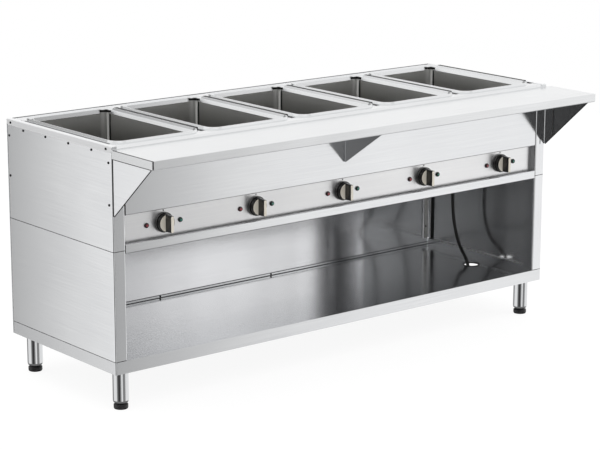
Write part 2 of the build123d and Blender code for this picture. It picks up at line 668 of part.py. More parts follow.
for label, side in (("red_lamps", -1), ("green_lamps", 1)):
    with BuildPart() as lamps:
        for knob_x, _ in well_places:
            lamp_x = knob_x + side * LAMP_OFFSET
            with BuildSketch(facing_front(lamp_x, STRIP_FACE + LAMP_TAIL, LAMP_Z)):
                Circle(LAMP_RADIUS)
            extrude(amount=LAMP_TAIL)
            with BuildSketch(facing_front(lamp_x, STRIP_FACE, LAMP_Z)):
                Circle(LAMP_BEZEL)
            extrude(amount=LAMP_BEZEL_HEIGHT)
            with BuildSketch(facing_front(lamp_x, STRIP_FACE - LAMP_BEZEL_HEIGHT, LAMP_Z)):
                Circle(LAMP_LENS)
            extrude(amount=LAMP_RISE - LAMP_BEZEL_HEIGHT)
        fillet(lamps.faces().group_by(Axis.Y)[0].edges(), radius=LAMP_DOME)
    save(lamps, label)

# Supply inside the housing: the terminal block, and the gland that the cord leaves by
terminal_length, terminal_depth, terminal_height = TERMINAL_SIZE
floor_panel_top = FLOOR_PANEL_Z + SHEET
with BuildPart() as terminal_block:
    with BuildSketch(Plane.XY.offset(floor_panel_top)):
        with Locations((GLAND_X - TERMINAL_OFFSET, GLAND_Y)):
            Rectangle(terminal_length, terminal_depth)
    extrude(amount=terminal_height)
save(terminal_block, "terminal_block")

with BuildPart() as cord_gland:
    with BuildSketch(Plane.XY.offset(FLOOR_PANEL_Z)):
        with Locations((GLAND_X, GLAND_Y)):
            Circle(GLAND_HOLE)
    extrude(amount=SHEET)
    with BuildSketch(Plane.XY.offset(floor_panel_top)):
        with Locations((GLAND_X, GLAND_Y)):
            RegularPolygon(GLAND_FLANGE, 6)
    extrude(amount=GLAND_RISE)
    with BuildSketch(Plane.XY.offset(FLOOR_PANEL_Z)):
        with Locations((GLAND_X, GLAND_Y)):
            RegularPolygon(GLAND_FLANGE, 6)
    extrude(amount=-GLAND_RISE)
    with BuildSketch(Plane.XY.offset(FLOOR_PANEL_Z - GLAND_RISE)):
        with Locations((GLAND_X, GLAND_Y)):
            Circle(GLAND_NOSE)
    extrude(amount=GLAND_RISE - GLAND_DROP, taper=GLAND_TAPER)
save(cord_gland, "cord_gland")

# Grommet in the tray's hole
with BuildPart() as cord_grommet:
    for bottom, height, radius in (
        (TRAY_FLOOR_Z - SHEET - GROMMET_LIP, GROMMET_LIP, GROMMET_FLANGE),
        (TRAY_FLOOR_Z - SHEET, SHEET, HOLE_RADIUS),
        (TRAY_FLOOR_Z, GROMMET_LIP, GROMMET_FLANGE),
    ):
        with BuildSketch(Plane.XY.offset(bottom)):
            with Locations((HOLE_X, HOLE_Y)):
                Circle(radius)
                Circle(GROMMET_BORE, mode=Mode.SUBTRACT)
        extrude(amount=height)
save(cord_grommet, "cord_grommet")


def route_radii(points):
    """Gives each corner of a route the radius that its shorter run leaves room for."""
    radii = []
    for before, corner, after in zip(points, points[1:], points[2:]):
        run_in = Vector(*corner) - Vector(*before)
        run_out = Vector(*after) - Vector(*corner)
        half_turn = math.radians(run_in.get_angle(run_out)) / 2
        radii.append(RUN_SHARE * min(run_in.length, run_out.length) / math.tan(half_turn))
    return radii


# Cord: the free stretch
cord_radii = route_radii(cord_route)
print("cord radii:", [round(radius) for radius in cord_radii])
with BuildPart() as cord:
    with BuildLine() as route:
        FilletPolyline(*cord_route, radius=cord_radii)
    with BuildSketch(Plane(origin=route.line @ 0, z_dir=route.line % 0)):
        Circle(CORD_RADIUS)
    sweep(path=route.line)
cord_section = math.pi * CORD_RADIUS**2
cord_length = route.wire().length
print("cord length:", round(cord_length), "volume ratio:", cord.part.volume / (cord_section * cord_length))
save(cord, "cord")

# Cord: the coil that is put away behind the table, wound in along the floor and out again on top
upper_z = COIL_Z + COIL_LAYER
middle_radius = COIL_RADIUS - COIL_STEP
inner_radius = middle_radius - COIL_STEP
loop_ends = [
    (COIL_RADIUS, COIL_Z),
    (-middle_radius, COIL_Z),
    (inner_radius, COIL_Z),
    (-inner_radius, upper_z),
    (middle_radius, upper_z),
]
with BuildPart() as cord_coil:
    with BuildLine() as turns:
        first_x = COIL_X + COIL_RADIUS
        Line((first_x, COIL_Y - CORD_DIAMETER, COIL_Z), (first_x, COIL_Y, COIL_Z))
        side = 1
        for (start, start_z), (end, end_z) in zip(loop_ends, loop_ends[1:]):
            start_point = Vector(COIL_X + start, COIL_Y, start_z)
            end_point = Vector(COIL_X + end, COIL_Y, end_z)
            half_turn_radius = (end_point - start_point).length / 2
            crest = (start_point + end_point) / 2 + Vector(0, side * half_turn_radius, 0)
            ThreePointArc(start_point, crest, end_point)
            side = -side
        leave_point = Vector(COIL_X + middle_radius, COIL_Y, upper_z)
        last_centre = leave_point - Vector(COIL_LAST_RADIUS, 0, 0)
        tail_start = last_centre + Vector(0, COIL_LAST_RADIUS, 0)
        eighth = COIL_LAST_RADIUS * math.cos(math.pi / 4)
        ThreePointArc(leave_point, last_centre + Vector(eighth, eighth, 0), tail_start)
        Line(tail_start, tail_start - Vector(COIL_TAIL, 0, 0))
    with BuildSketch(Plane(origin=turns.line @ 0, z_dir=turns.line % 0)):
        Circle(CORD_RADIUS)
    sweep(path=turns.line)
coil_wire = turns.wire()
coil_length = coil_wire.length
coil_points = [coil_wire @ (k / GAP_SAMPLES) for k in range(GAP_SAMPLES + 1)]
apart = math.ceil(math.pi * CORD_DIAMETER / (coil_length / GAP_SAMPLES))
least_gap = min(
    (coil_points[i] - coil_points[j]).length
    for i in range(GAP_SAMPLES + 1)
    for j in range(i + apart, GAP_SAMPLES + 1)
)
print("coil length:", round(coil_length), "least gap:", round(least_gap - CORD_DIAMETER, 2))
print("coil volume ratio:", cord_coil.part.volume / (cord_section * coil_length))
save(cord_coil, "cord_coil")

# Tie round the two strands at the coil's left
tie_left = COIL_X - middle_radius - CORD_RADIUS - TIE_GAP
tie_right = COIL_X - inner_radius + CORD_RADIUS + TIE_GAP
tie_bottom = COIL_Z - CORD_RADIUS - TIE_GAP
tie_top = upper_z + CORD_RADIUS + TIE_GAP
with BuildPart() as cord_tie:
    with BuildSketch(facing_front((tie_left + tie_right) / 2, COIL_Y + TIE_WIDTH / 2, (tie_bottom + tie_top) / 2)):
        Rectangle(tie_right - tie_left + 2 * TIE_THICKNESS, tie_top - tie_bottom + 2 * TIE_THICKNESS)
        Rectangle(tie_right - tie_left, tie_top - tie_bottom, mode=Mode.SUBTRACT)
    extrude(amount=TIE_WIDTH)
save(cord_tie, "cord_tie")

# Plug at the cord's end
plug_plane = Plane(origin=coil_wire @ 1, x_dir=(0, 1, 0), z_dir=(-1, 0, 0))
with BuildPart() as plug:
    with BuildSketch(plug_plane):
        Circle(PLUG_NECK_RADIUS)
    with BuildSketch(plug_plane.offset(PLUG_NECK)):
        RectangleRounded(PLUG_SIZE, PLUG_SIZE, PLUG_CORNER)
    loft()
    with BuildSketch(plug_plane.offset(PLUG_NECK)):
        RectangleRounded(PLUG_SIZE, PLUG_SIZE, PLUG_CORNER)
    extrude(amount=PLUG_LENGTH)
    with BuildSketch(plug_plane.offset(PLUG_NECK + PLUG_LENGTH)):
        with Locations((-BLADE_OFFSET, BLADE_OFFSET / 2), (BLADE_OFFSET, BLADE_OFFSET / 2)):
            Rectangle(*BLADE_SECTION, rotation=90)
    extrude(amount=BLADE_LENGTH)
    with BuildSketch(plug_plane.offset(PLUG_NECK + PLUG_LENGTH)):
        with Locations((0, -BLADE_OFFSET)):
            Circle(EARTH_RADIUS)
    extrude(amount=EARTH_LENGTH)
save(plug, "plug")
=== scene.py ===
"""Looks of an electric steam table: its finishes, small fasteners, mains lead and a plain studio.

Metres, +Z up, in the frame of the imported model. The work shelf and the controls face -Y. Sizes that a class
holds are in millimetres, apart from the camera's and the studio's.
"""

from __future__ import annotations

import logging
import math
from dataclasses import dataclass, replace
from enum import Enum
from functools import cache
from typing import Any

import bmesh
import bpy
from mathutils import Matrix, Vector

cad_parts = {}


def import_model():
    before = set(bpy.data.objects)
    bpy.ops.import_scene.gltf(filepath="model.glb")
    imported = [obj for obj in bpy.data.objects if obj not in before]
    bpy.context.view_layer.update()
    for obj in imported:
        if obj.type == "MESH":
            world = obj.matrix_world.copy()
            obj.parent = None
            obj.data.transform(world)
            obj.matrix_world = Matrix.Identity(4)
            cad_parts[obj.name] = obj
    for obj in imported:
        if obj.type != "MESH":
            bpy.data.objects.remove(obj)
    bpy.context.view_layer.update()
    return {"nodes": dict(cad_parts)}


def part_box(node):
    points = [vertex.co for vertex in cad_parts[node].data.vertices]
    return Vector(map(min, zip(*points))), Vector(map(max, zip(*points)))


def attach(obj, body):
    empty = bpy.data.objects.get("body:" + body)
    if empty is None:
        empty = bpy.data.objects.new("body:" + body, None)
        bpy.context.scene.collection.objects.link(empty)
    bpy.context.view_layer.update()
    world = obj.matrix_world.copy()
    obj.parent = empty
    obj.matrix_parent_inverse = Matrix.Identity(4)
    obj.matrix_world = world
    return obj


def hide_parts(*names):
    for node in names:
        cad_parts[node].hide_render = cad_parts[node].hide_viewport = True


LOG = logging.getLogger("steam_table")
MM = 0.001
WELL_COUNT = 5
QUARTER_TURN = math.pi / 2
WHITE = (1.0, 1.0, 1.0, 1.0)
# Sockets of a Mix node by number, because several of them share a name
SHARE = 0
LEVEL_A = 2
LEVEL_B = 3
LEVEL_OUT = 0
COLOUR_A = 6
COLOUR_B = 7
COLOUR_OUT = 2

Tree = bpy.types.NodeTree
Socket = bpy.types.NodeSocket
Shape = bmesh.types.BMesh
Nodes = dict[str, bpy.types.Object]
Pair = tuple[float, float]
Span = tuple[float, float]  # where something begins and ends
Point = tuple[float, float, float]


def spans(node: str) -> tuple[Span, Span, Span]:
    """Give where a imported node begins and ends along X, Y and Z, in millimetres."""
    return tuple(zip(*([value / MM for value in corner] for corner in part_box(node))))


def numbered(kind: str) -> list[str]:
    """Give the names of the nodes of a kind, one for each well."""
    return [f"{kind}_{number}" for number in range(1, WELL_COUNT + 1)]


class Grain(Enum):
    """The way that a metal was brushed."""

    ALONG_X = 0
    ALONG_Y = 1
    ALONG_Z = 2


class Facing(Enum):
    """The way that an end of the table, or a fastener's head, looks out."""

    LEFT = (-1.0, 0.0, 0.0)
    RIGHT = (1.0, 0.0, 0.0)
    FRONT = (0.0, -1.0, 0.0)
    BACK = (0.0, 1.0, 0.0)

    @property
    def side(self) -> str:
        """The word for it in the nodes' names."""
        return self.name.lower()

    def inward(self, node: str, *depths: float) -> tuple[float, ...]:
        """Give places along X by how far in they are from a node's outer face at one end of the table.

        Args:
            node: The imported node.
            depths: The distances in from its face.

        Returns:
            The places in rising order.
        """
        left, right = spans(node)[0]
        outer = left if self is Facing.LEFT else right
        return tuple(sorted(outer - self.value[0] * depth for depth in depths))


ENDS = (Facing.LEFT, Facing.RIGHT)


def linear(code: str) -> tuple[float, float, float, float]:
    """Turn an sRGB hex colour into linear light.

    Args:
        code: The colour, such as "#D0D2D4".

    Returns:
        Red, green, blue and a full alpha.
    """
    channels = []
    for start in (1, 3, 5):
        value = int(code[start : start + 2], 16) / 255
        channels.append(value / 12.92 if value <= 0.04045 else ((value + 0.055) / 1.055) ** 2.4)
    return (*channels, 1.0)


def feed(tree: Tree, node: bpy.types.Node, inputs: dict[str | int, Any]) -> None:
    """Set a node's inputs.

    Args:
        tree: The tree that the node is in.
        node: The node.
        inputs: Socket names or numbers, each with a value or the output that feeds it.
    """
    for socket, value in inputs.items():
        if isinstance(value, Socket):
            tree.links.new(value, node.inputs[socket])
        else:
            node.inputs[socket].default_value = value


def add(tree: Tree, kind: str, output: str | int, inputs: dict[str | int, Any], **settings: Any) -> Socket:
    """Add a node with its settings, values and links.

    Args:
        tree: The tree that takes the node.
        kind: The node's type.
        output: The name or number of the output that is wanted.
        inputs: Socket names or numbers, each with a value or the output that feeds it.
        settings: Properties of the node itself.

    Returns:
        That output of the new node.
    """
    node = tree.nodes.new(kind)
    for name, value in settings.items():
        setattr(node, name, value)
    feed(tree, node, inputs)
    return node.outputs[output]


def draw_stops(curve: bpy.types.ColorRamp, stops: list[Pair], blend: str = "LINEAR") -> None:
    """Draw a ramp's curve through a few stops.

    Args:
        curve: The ramp.
        stops: Places from 0 to 1 in rising order, and the level from 0 to 1 at each.
        blend: How the curve runs between two stops.
    """
    curve.interpolation = blend
    made = curve.elements
    for number, (place, level) in enumerate(stops):
        stop = made[number] if number < len(made) else made.new(place)
        stop.position = place
        stop.color = (level, level, level, 1.0)


def surface(name: str, values: dict[str, Any]) -> tuple[bpy.types.Material, Tree, bpy.types.Node, Socket]:
    """Start a material on one Principled shader.

    Args:
        name: The material's name.
        values: The shader's constant inputs.

    Returns:
        The material, its tree, its shader and the Object coordinates.
    """
    material = bpy.data.materials.new(name)
    material.use_nodes = True
    tree = material.node_tree
    shader = tree.nodes["Principled BSDF"]
    feed(tree, shader, values)
    return material, tree, shader, add(tree, "ShaderNodeTexCoord", "Object", {})


@dataclass(frozen=True)
class SheetBow:
    """A sheet that isn't quite flat: along its length its face leans a little to one side or the other."""

    # Places along X in rising order, and how far the face leans towards +X at each
    leans: tuple[Pair, ...]

    def normal(self, tree: Tree, place: Socket) -> Socket:
        """Give the leaning normal.

        Args:
            tree: The material's tree.
            place: The Object coordinates.

        Returns:
            The normal, turned by the lean at each place.
        """
        start, end = self.leans[0][0], self.leans[-1][0]
        steepest = max(abs(lean) for _, lean in self.leans)
        along = add(tree, "ShaderNodeSeparateXYZ", "X", {"Vector": place})
        length = {"From Min": start * MM, "From Max": end * MM}
        share = add(tree, "ShaderNodeMapRange", "Result", {"Value": along, **length})
        level = add(tree, "ShaderNodeValToRGB", "Color", {"Fac": share})
        stops = [((x - start) / (end - start), 0.5 + lean / steepest / 2) for x, lean in self.leans]
        draw_stops(level.node.color_ramp, stops, "EASE")
        swing = {"To Min": -steepest, "To Max": steepest}
        lean = add(tree, "ShaderNodeMapRange", "Result", {"Value": level, **swing})
        sideways = add(tree, "ShaderNodeCombineXYZ", 0, {"X": lean})
        flat = add(tree, "ShaderNodeNewGeometry", "Normal", {})
        turned = add(tree, "ShaderNodeVectorMath", 0, {0: flat, 1: sideways}, operation="ADD")
        return add(tree, "ShaderNodeVectorMath", 0, {0: turned}, operation="NORMALIZE")


@dataclass(frozen=True)
class PaintedDepthShade:
    """Painted shade: the steel is darkened more and more towards the bottom, where a deep well lies in shade.
    """

    low_z: float
    high_z: float
    low_level: float

    def darken(self, tree: Tree, place: Socket, tone: Socket) -> Socket:
        """Paint shade into a colour: darker towards the bottom.

        Args:
            tree: The material's tree.
            place: The Object coordinates.
            tone: The colour of the clean steel.

        Returns:
            The tinted colour.
        """
        height = add(tree, "ShaderNodeSeparateXYZ", "Z", {"Vector": place})
        heights = {"From Min": self.low_z * MM, "From Max": self.high_z * MM}
        levels = {"To Min": self.low_level, "To Max": 1.0}
        level = add(tree, "ShaderNodeMapRange", "Result", {"Value": height, **heights, **levels})
        mixed = {SHARE: 1.0, COLOUR_A: tone, COLOUR_B: level}
        return add(tree, "ShaderNodeMix", COLOUR_OUT, mixed, data_type="RGBA", blend_type="MULTIPLY")


@dataclass(frozen=True)
class BrushedMetal:
    """A metal with a grain: fine parallel scratches, slow changes of tone and a stretched gloss."""

    name: str
    along: Grain
    colour: str
    streak: str
    roughness: float
    roughness_range: float = 0.02
    anisotropy: float = 0.0
    blur_turn: float = 0.25  # of a full turn: lays the blur across the scratches of an upright panel
    # The real scratches are finer than a pixel, so on the sheets they are drawn about 2 mm wide to show
    scratch: float = 2.2
    scratch_length: float = 260.0
    scratch_depth: float = 0.009
    scratch_detail: float = 4.0
    scratch_unevenness: float = 0.65
    scratch_strength: float = 0.5
    cloud: float = 260.0
    cloud_detail: float = 2.0
    cloud_share: float = 0.35
    contrast: Span = (0.3, 0.7)  # the part of the noises' range that makes the whole change of tone
    metallic: float = 1.0
    bow: SheetBow | None = None
    painted_shade: PaintedDepthShade | None = None

    def material(self) -> bpy.types.Material:
        """Build the material on Object coordinates.

        Returns:
            The material.
        """
        blur = {"Anisotropic": self.anisotropy, "Anisotropic Rotation": self.blur_turn}
        material, tree, shader, place = surface(self.name, {"Metallic": self.metallic, **blur})
        scale = [1 / (self.scratch * MM)] * 3
        scale[self.along.value] = 1 / (self.scratch_length * MM)
        drawn = add(tree, "ShaderNodeMapping", "Vector", {"Vector": place, "Scale": scale})
        uneven = {"Detail": self.scratch_detail, "Roughness": self.scratch_unevenness}
        scratch = add(tree, "ShaderNodeTexNoise", "Fac", {"Vector": drawn, "Scale": 1.0, **uneven})
        slow = {"Scale": 1 / (self.cloud * MM), "Detail": self.cloud_detail}
        cloud = add(tree, "ShaderNodeTexNoise", "Fac", {"Vector": place, **slow})
        both = {SHARE: self.cloud_share, LEVEL_A: scratch, LEVEL_B: cloud}
        worn = add(tree, "ShaderNodeMix", LEVEL_OUT, both, data_type="FLOAT")
        wear = {"Value": worn, "From Min": self.contrast[0], "From Max": self.contrast[1]}
        share = add(tree, "ShaderNodeMapRange", "Result", wear)
        tones = {SHARE: share, COLOUR_A: linear(self.streak), COLOUR_B: linear(self.colour)}
        tone = add(tree, "ShaderNodeMix", COLOUR_OUT, tones, data_type="RGBA")
        # Painted shade: the colour darkens towards the bottom of the deep wells
        if self.painted_shade:
            tone = self.painted_shade.darken(tree, place, tone)
        dull, bright = self.roughness + self.roughness_range, self.roughness - self.roughness_range
        gloss = add(tree, "ShaderNodeMapRange", "Result", {**wear, "To Min": dull, "To Max": bright})
        depth = {"Strength": self.scratch_strength, "Distance": self.scratch_depth * MM}
        if self.bow:
            depth["Normal"] = self.bow.normal(tree, place)
        relief = add(tree, "ShaderNodeBump", "Normal", {"Height": scratch, **depth})
        feed(tree, shader, {"Base Color": tone, "Roughness": gloss, "Normal": relief})
        return material


@dataclass(frozen=True)
class Moulded:
    """A plastic or rubber out of a mould: an even body colour with a fine texture and a slight bloom."""

    name: str
    colour: str
    bloom: str
    roughness: float
    texture: float
    texture_depth: float
    coat: float = 0.0
    coat_roughness: float = 0.15
    ior: float = 1.5
    texture_detail: float = 3.0
    texture_strength: float = 0.4
    bloom_width: float = 20.0  # in widths of the texture
    bloom_detail: float = 2.0
    gloss_range: float = 0.2  # as a share of the roughness

    def material(self) -> bpy.types.Material:
        """Build the material on Object coordinates.

        Returns:
            The material.
        """
        coat = {"Coat Weight": self.coat, "Coat Roughness": self.coat_roughness}
        material, tree, shader, place = surface(self.name, {"IOR": self.ior, **coat})
        fine = {"Scale": 1 / (self.texture * MM), "Detail": self.texture_detail}
        pores = add(tree, "ShaderNodeTexNoise", "Fac", {"Vector": place, **fine})
        broad = {"Scale": 1 / (self.bloom_width * self.texture * MM), "Detail": self.bloom_detail}
        handled = add(tree, "ShaderNodeTexNoise", "Fac", {"Vector": place, **broad})
        tones = {SHARE: handled, COLOUR_A: linear(self.colour), COLOUR_B: linear(self.bloom)}
        tone = add(tree, "ShaderNodeMix", COLOUR_OUT, tones, data_type="RGBA")
        bright, dull = ((1 + way * self.gloss_range) * self.roughness for way in (-1, 1))
        shine = {"To Min": bright, "To Max": dull}
        gloss = add(tree, "ShaderNodeMapRange", "Result", {"Value": handled, **shine})
        depth = {"Strength": self.texture_strength, "Distance": self.texture_depth * MM}
        relief = add(tree, "ShaderNodeBump", "Normal", {"Height": pores, **depth})
        feed(tree, shader, {"Base Color": tone, "Roughness": gloss, "Normal": relief})
        return material


@dataclass(frozen=True)
class LampGlass:
    """A moulded lens in a dark rim: deep colour at the edge and a lighter middle, which is a painted glint.
    """

    name: str
    deep: str
    bright: str
    rim: str
    first_x: float
    pitch: float
    centre_z: float
    lens_radius: float
    painted_glint_reach: Span = (0.15, 0.75)  # where the light middle fades out, in lens radii
    rim_reach: Span = (0.96, 1.02)  # where the lens ends and the rim begins, in lens radii
    roughness: float = 0.12
    ior: float = 1.58
    coat: float = 0.6

    def material(self) -> bpy.types.Material:
        """Build the material on the distance from the nearest lamp's axis.

        Returns:
            The material.
        """
        shine = {"Roughness": self.roughness, "IOR": self.ior, "Coat Weight": self.coat}
        material, tree, shader, place = surface(self.name, shine)
        split = add(tree, "ShaderNodeSeparateXYZ", "X", {"Vector": place}).node.outputs
        first, half = self.first_x * MM, self.pitch * MM / 2
        nearest = {0: split["X"], 1: first + half, 2: first - half}
        across = add(tree, "ShaderNodeMath", 0, nearest, operation="WRAP")
        side = add(tree, "ShaderNodeMath", 0, {0: across, 1: first}, operation="SUBTRACT")
        rise = add(tree, "ShaderNodeMath", 0, {0: split["Z"], 1: self.centre_z * MM}, operation="SUBTRACT")
        flat = add(tree, "ShaderNodeCombineXYZ", 0, {"X": side, "Z": rise})
        distance = add(tree, "ShaderNodeVectorMath", "Value", {0: flat}, operation="LENGTH")
        lens = self.lens_radius * MM
        (glint_start, glint_end), (rim_start, rim_end) = self.painted_glint_reach, self.rim_reach
        # Painted glint: the lens is lighter in its middle, fading to the deep colour towards the edge
        fade = {"From Min": glint_start * lens, "From Max": glint_end * lens, "To Min": 1.0, "To Max": 0.0}
        glow = add(tree, "ShaderNodeMapRange", "Result", {"Value": distance, **fade})
        depths = {SHARE: glow, COLOUR_A: linear(self.deep), COLOUR_B: linear(self.bright)}
        glass = add(tree, "ShaderNodeMix", COLOUR_OUT, depths, data_type="RGBA")
        edge = {"From Min": rim_start * lens, "From Max": rim_end * lens}
        rim = add(tree, "ShaderNodeMapRange", "Result", {"Value": distance, **edge})
        tones = {SHARE: rim, COLOUR_A: glass, COLOUR_B: linear(self.rim)}
        feed(tree, shader, {"Base Color": add(tree, "ShaderNodeMix", COLOUR_OUT, tones, data_type="RGBA")})
        return material


@dataclass(frozen=True)
class PluggedRubber:
    """Black moulded rubber with bright nickel on the blades that stand out of it."""

    name: str
    colour: str
    blade: str
    nickel_end: float
    texture: float = 1.2
    texture_detail: float = 3.0
    texture_depth: float = 0.05
    texture_strength: float = 0.3
    roughness: float = 0.5
    blade_roughness: float = 0.18
    ior: float = 1.52

    def material(self) -> bpy.types.Material:
        """Build the material on Object coordinates, with the nickel on the -X side of its end.

        Returns:
            The material.
        """
        material, tree, shader, place = surface(self.name, {"IOR": self.ior})
        reach = add(tree, "ShaderNodeSeparateXYZ", "X", {"Vector": place})
        metal = add(tree, "ShaderNodeMath", 0, {0: reach, 1: self.nickel_end * MM}, operation="LESS_THAN")
        fine = {"Scale": 1 / (self.texture * MM), "Detail": self.texture_detail}
        pores = add(tree, "ShaderNodeTexNoise", "Fac", {"Vector": place, **fine})
        tones = {SHARE: metal, COLOUR_A: linear(self.colour), COLOUR_B: linear(self.blade)}
        tone = add(tree, "ShaderNodeMix", COLOUR_OUT, tones, data_type="RGBA")
        shine = {"To Min": self.roughness, "To Max": self.blade_roughness}
        gloss = add(tree, "ShaderNodeMapRange", "Result", {"Value": metal, **shine})
        depth = {"Strength": self.texture_strength, "Distance": self.texture_depth * MM}
        relief = add(tree, "ShaderNodeBump", "Normal", {"Height": pores, **depth})
        feed(tree, shader, {"Base Color": tone, "Metallic": metal, "Roughness": gloss, "Normal": relief})
        return material


Finish = BrushedMetal | Moulded | LampGlass | PluggedRubber

# Stainless sheet with a belt-ground grain: pale, soft mirror images drawn out across the grain
FRONT_SHEET = BrushedMetal(
    "stainless_sheet_ground_along_x", Grain.ALONG_X, "#EDEEEF", "#E4E5E7", roughness=0.16, anisotropy=0.45
)
# The same sheet on the ends and the brackets, a little glossier, with its grain from front to back
END_SHEET = replace(FRONT_SHEET, name="stainless_sheet_ground_along_y", along=Grain.ALONG_Y, roughness=0.14)
# The wide back sheet bows between its screws, which draws bright and dark patches out of the studio
BACK_SHEET = replace(
    FRONT_SHEET,
    name="stainless_sheet_ground_and_bowed",
    colour="#FAFAFB",
    streak="#F2F2F4",
    bow=SheetBow((
        (-600.0, 0.014), (-436.0, 0.016), (-250.0, 0.022), (-151.0, 0.032), (-52.0, 0.022), (150.0, -0.004),
        (240.0, -0.012), (310.0, 0.006), (405.0, 0.014), (428.0, 0.0), (455.0, 0.002), (471.0, 0.014),
        (491.0, 0.002), (506.0, -0.008), (520.0, -0.0175), (535.0, -0.027), (549.0, -0.03), (564.0, -0.022),
        (590.0, 0.004), (900.0, 0.0),
    )),
)
# The control strip, ground finer and duller: the knobs' mirror images melt away beside them
STRIP_SHEET = BrushedMetal(
    "stainless_sheet_satin", Grain.ALONG_X, "#FDFDFD", "#F6F6F7", roughness=0.31, roughness_range=0.03,
    anisotropy=0.3,
)
# The end caps, buffed: a white band over each end
CAP_SHEET = BrushedMetal(
    "stainless_sheet_buffed", Grain.ALONG_Y, "#FAFAFB", "#F3F4F5", roughness=0.36, roughness_range=0.03,
    scratch_depth=0.006,
)
# The undershelf, wiped along its length: clear mirror images with no drawn-out gloss
TRAY_SHEET = BrushedMetal(
    "stainless_sheet_wiped_floor", Grain.ALONG_X, "#E9EAEB", "#DFE0E2", roughness=0.17, scratch_depth=0.01
)
# The deck and the shelf, wiped every day: a shade whiter than the undershelf, and softer
TOP_SHEET = BrushedMetal(
    "stainless_sheet_wiped_top", Grain.ALONG_X, "#ECEDEE", "#E2E3E4", roughness=0.2, roughness_range=0.03,
    scratch_depth=0.01,
)
# Deep-drawn stainless with upright draw marks: grey, and darkened towards the bottom with painted shade of
# the deep well
WELL_SHEET = BrushedMetal(
    "stainless_deep_drawn", Grain.ALONG_Z, "#F4F4F2", "#EFEFED", roughness=0.3, anisotropy=0.3, scratch=3.0,
    scratch_length=180.0, scratch_depth=0.012, painted_shade=PaintedDepthShade(low_z=690.0, high_z=820.0, low_level=0.38),
)
# Mirror-polished tube, and the beads polished with it: sharp light and dark bands down their length
LEG_TUBE = BrushedMetal(
    "stainless_tube_polished", Grain.ALONG_Z, "#DEDFE0", "#D2D3D5", roughness=0.1, roughness_range=0.03,
    scratch=1.6, scratch_length=140.0, scratch_depth=0.004,
)
# Champagne anodised aluminium, brushed and lacquered: warm, pale and satin
KNOB_TRIM = BrushedMetal(
    "aluminium_champagne_lacquered", Grain.ALONG_Z, "#F6F0E4", "#EAE2D2", roughness=0.42,
    roughness_range=0.05, scratch=0.9, scratch_length=40.0, scratch_depth=0.01, cloud=30.0, metallic=0.1,
)
# Turned brass: yellow with fine rings
SPINDLE_BRASS = BrushedMetal(
    "brass_turned", Grain.ALONG_Y, "#D9B66A", "#B8924A", roughness=0.25, roughness_range=0.05, scratch=0.8,
    scratch_length=6.0, scratch_depth=0.01, cloud=12.0,
)
# Nickel-alloy heater sheath, straw and grey from heat
ELEMENT_SHEATH = BrushedMetal(
    "nickel_alloy_heat_tinted", Grain.ALONG_Y, "#8F887C", "#5E5A55", roughness=0.38, roughness_range=0.06,
    scratch=2.0, scratch_length=30.0, scratch_depth=0.02, cloud=60.0,
)
# Blackened screws: dark heads with a dull shine
SCREW_BLACK = BrushedMetal(
    "steel_blackened", Grain.ALONG_Z, "#3A3A3C", "#222224", roughness=0.42, roughness_range=0.06, scratch=0.8,
    scratch_length=4.0, scratch_depth=0.01, cloud=10.0,
)
# Welds in the wells' corners and bands on the cabinet's rear returns, ground back: pale upright streaks,
# which in the wells' corners are a painted highlight
WELD_AND_PAINTED_HIGHLIGHT = BrushedMetal(
    "stainless_weld_and_painted_highlight", Grain.ALONG_Z, "#F0F0EE", "#DEDEDB", roughness=0.5, roughness_range=0.05,
    scratch=1.5, scratch_length=60.0, scratch_depth=0.02, metallic=0.3,
)
# White lines along the foot of the end walls: painted highlight, a matt white in place of the welds' bright
# edge
WHITE_PAINTED_HIGHLIGHT = BrushedMetal(
    "painted_highlight_white", Grain.ALONG_Z, "#FFFFFF", "#F4F4F4", roughness=0.45, roughness_range=0.05,
    scratch=2.0, scratch_length=60.0, scratch_depth=0.01, metallic=0.0,
)
# Glass-filled nylon: black, satin and slightly grained from the mould
FOOT_NYLON = Moulded(
    "nylon_black_moulded", "#19191B", "#2A2A2C", roughness=0.45, texture=1.2, texture_depth=0.03
)
# Phenolic, pressed and polished: deep black with a hard shine
KNOB_PHENOLIC = Moulded(
    "phenolic_black_polished", "#0E0D0D", "#1B1918", roughness=0.22, texture=0.8, texture_depth=0.006,
    coat=0.35, ior=1.6,
)
# Filled dial mark: a dull black enamel
DIAL_ENAMEL = Moulded(
    "enamel_black_filled", "#161617", "#232324", roughness=0.5, texture=0.6, texture_depth=0.004
)
# Rubber sheath of the lead: black, dull, a little dusty
LEAD_RUBBER = Moulded(
    "rubber_sheath_extruded", "#1B1B1C", "#2E2D2C", roughness=0.55, texture=1.5, texture_depth=0.03, ior=1.52
)
# The tray's grommet: a duller black than the lead that goes through it
GROMMET_RUBBER = Moulded(
    "rubber_grommet_moulded", "#161616", "#262625", roughness=0.6, texture=1.0, texture_depth=0.03, ior=1.52
)
# The lead's gland: black with a satin shine
GLAND_NYLON = Moulded(
    "nylon_gland_moulded", "#1A1A1C", "#2B2B2D", roughness=0.4, texture=0.9, texture_depth=0.02
)
# The tie round the coil: smooth dark grey
TIE_NYLON = Moulded(
    "nylon_tie_moulded", "#202022", "#303032", roughness=0.38, texture=0.6, texture_depth=0.01
)
# Thermostat cases: pale thermosetting resin, matt
CONTROL_RESIN = Moulded(
    "resin_control_case", "#D8D2C4", "#C4BEB0", roughness=0.55, texture=1.2, texture_depth=0.02
)
# Painted shade behind the panels' open joints and in the wells' corners: dead black strips where there is
# only shade
BLACK_PAINTED_SHADE = Moulded(
    "painted_shade_dead_black", "#0B0B0C", "#151516", roughness=0.9, texture=1.0, texture_depth=0.05
)
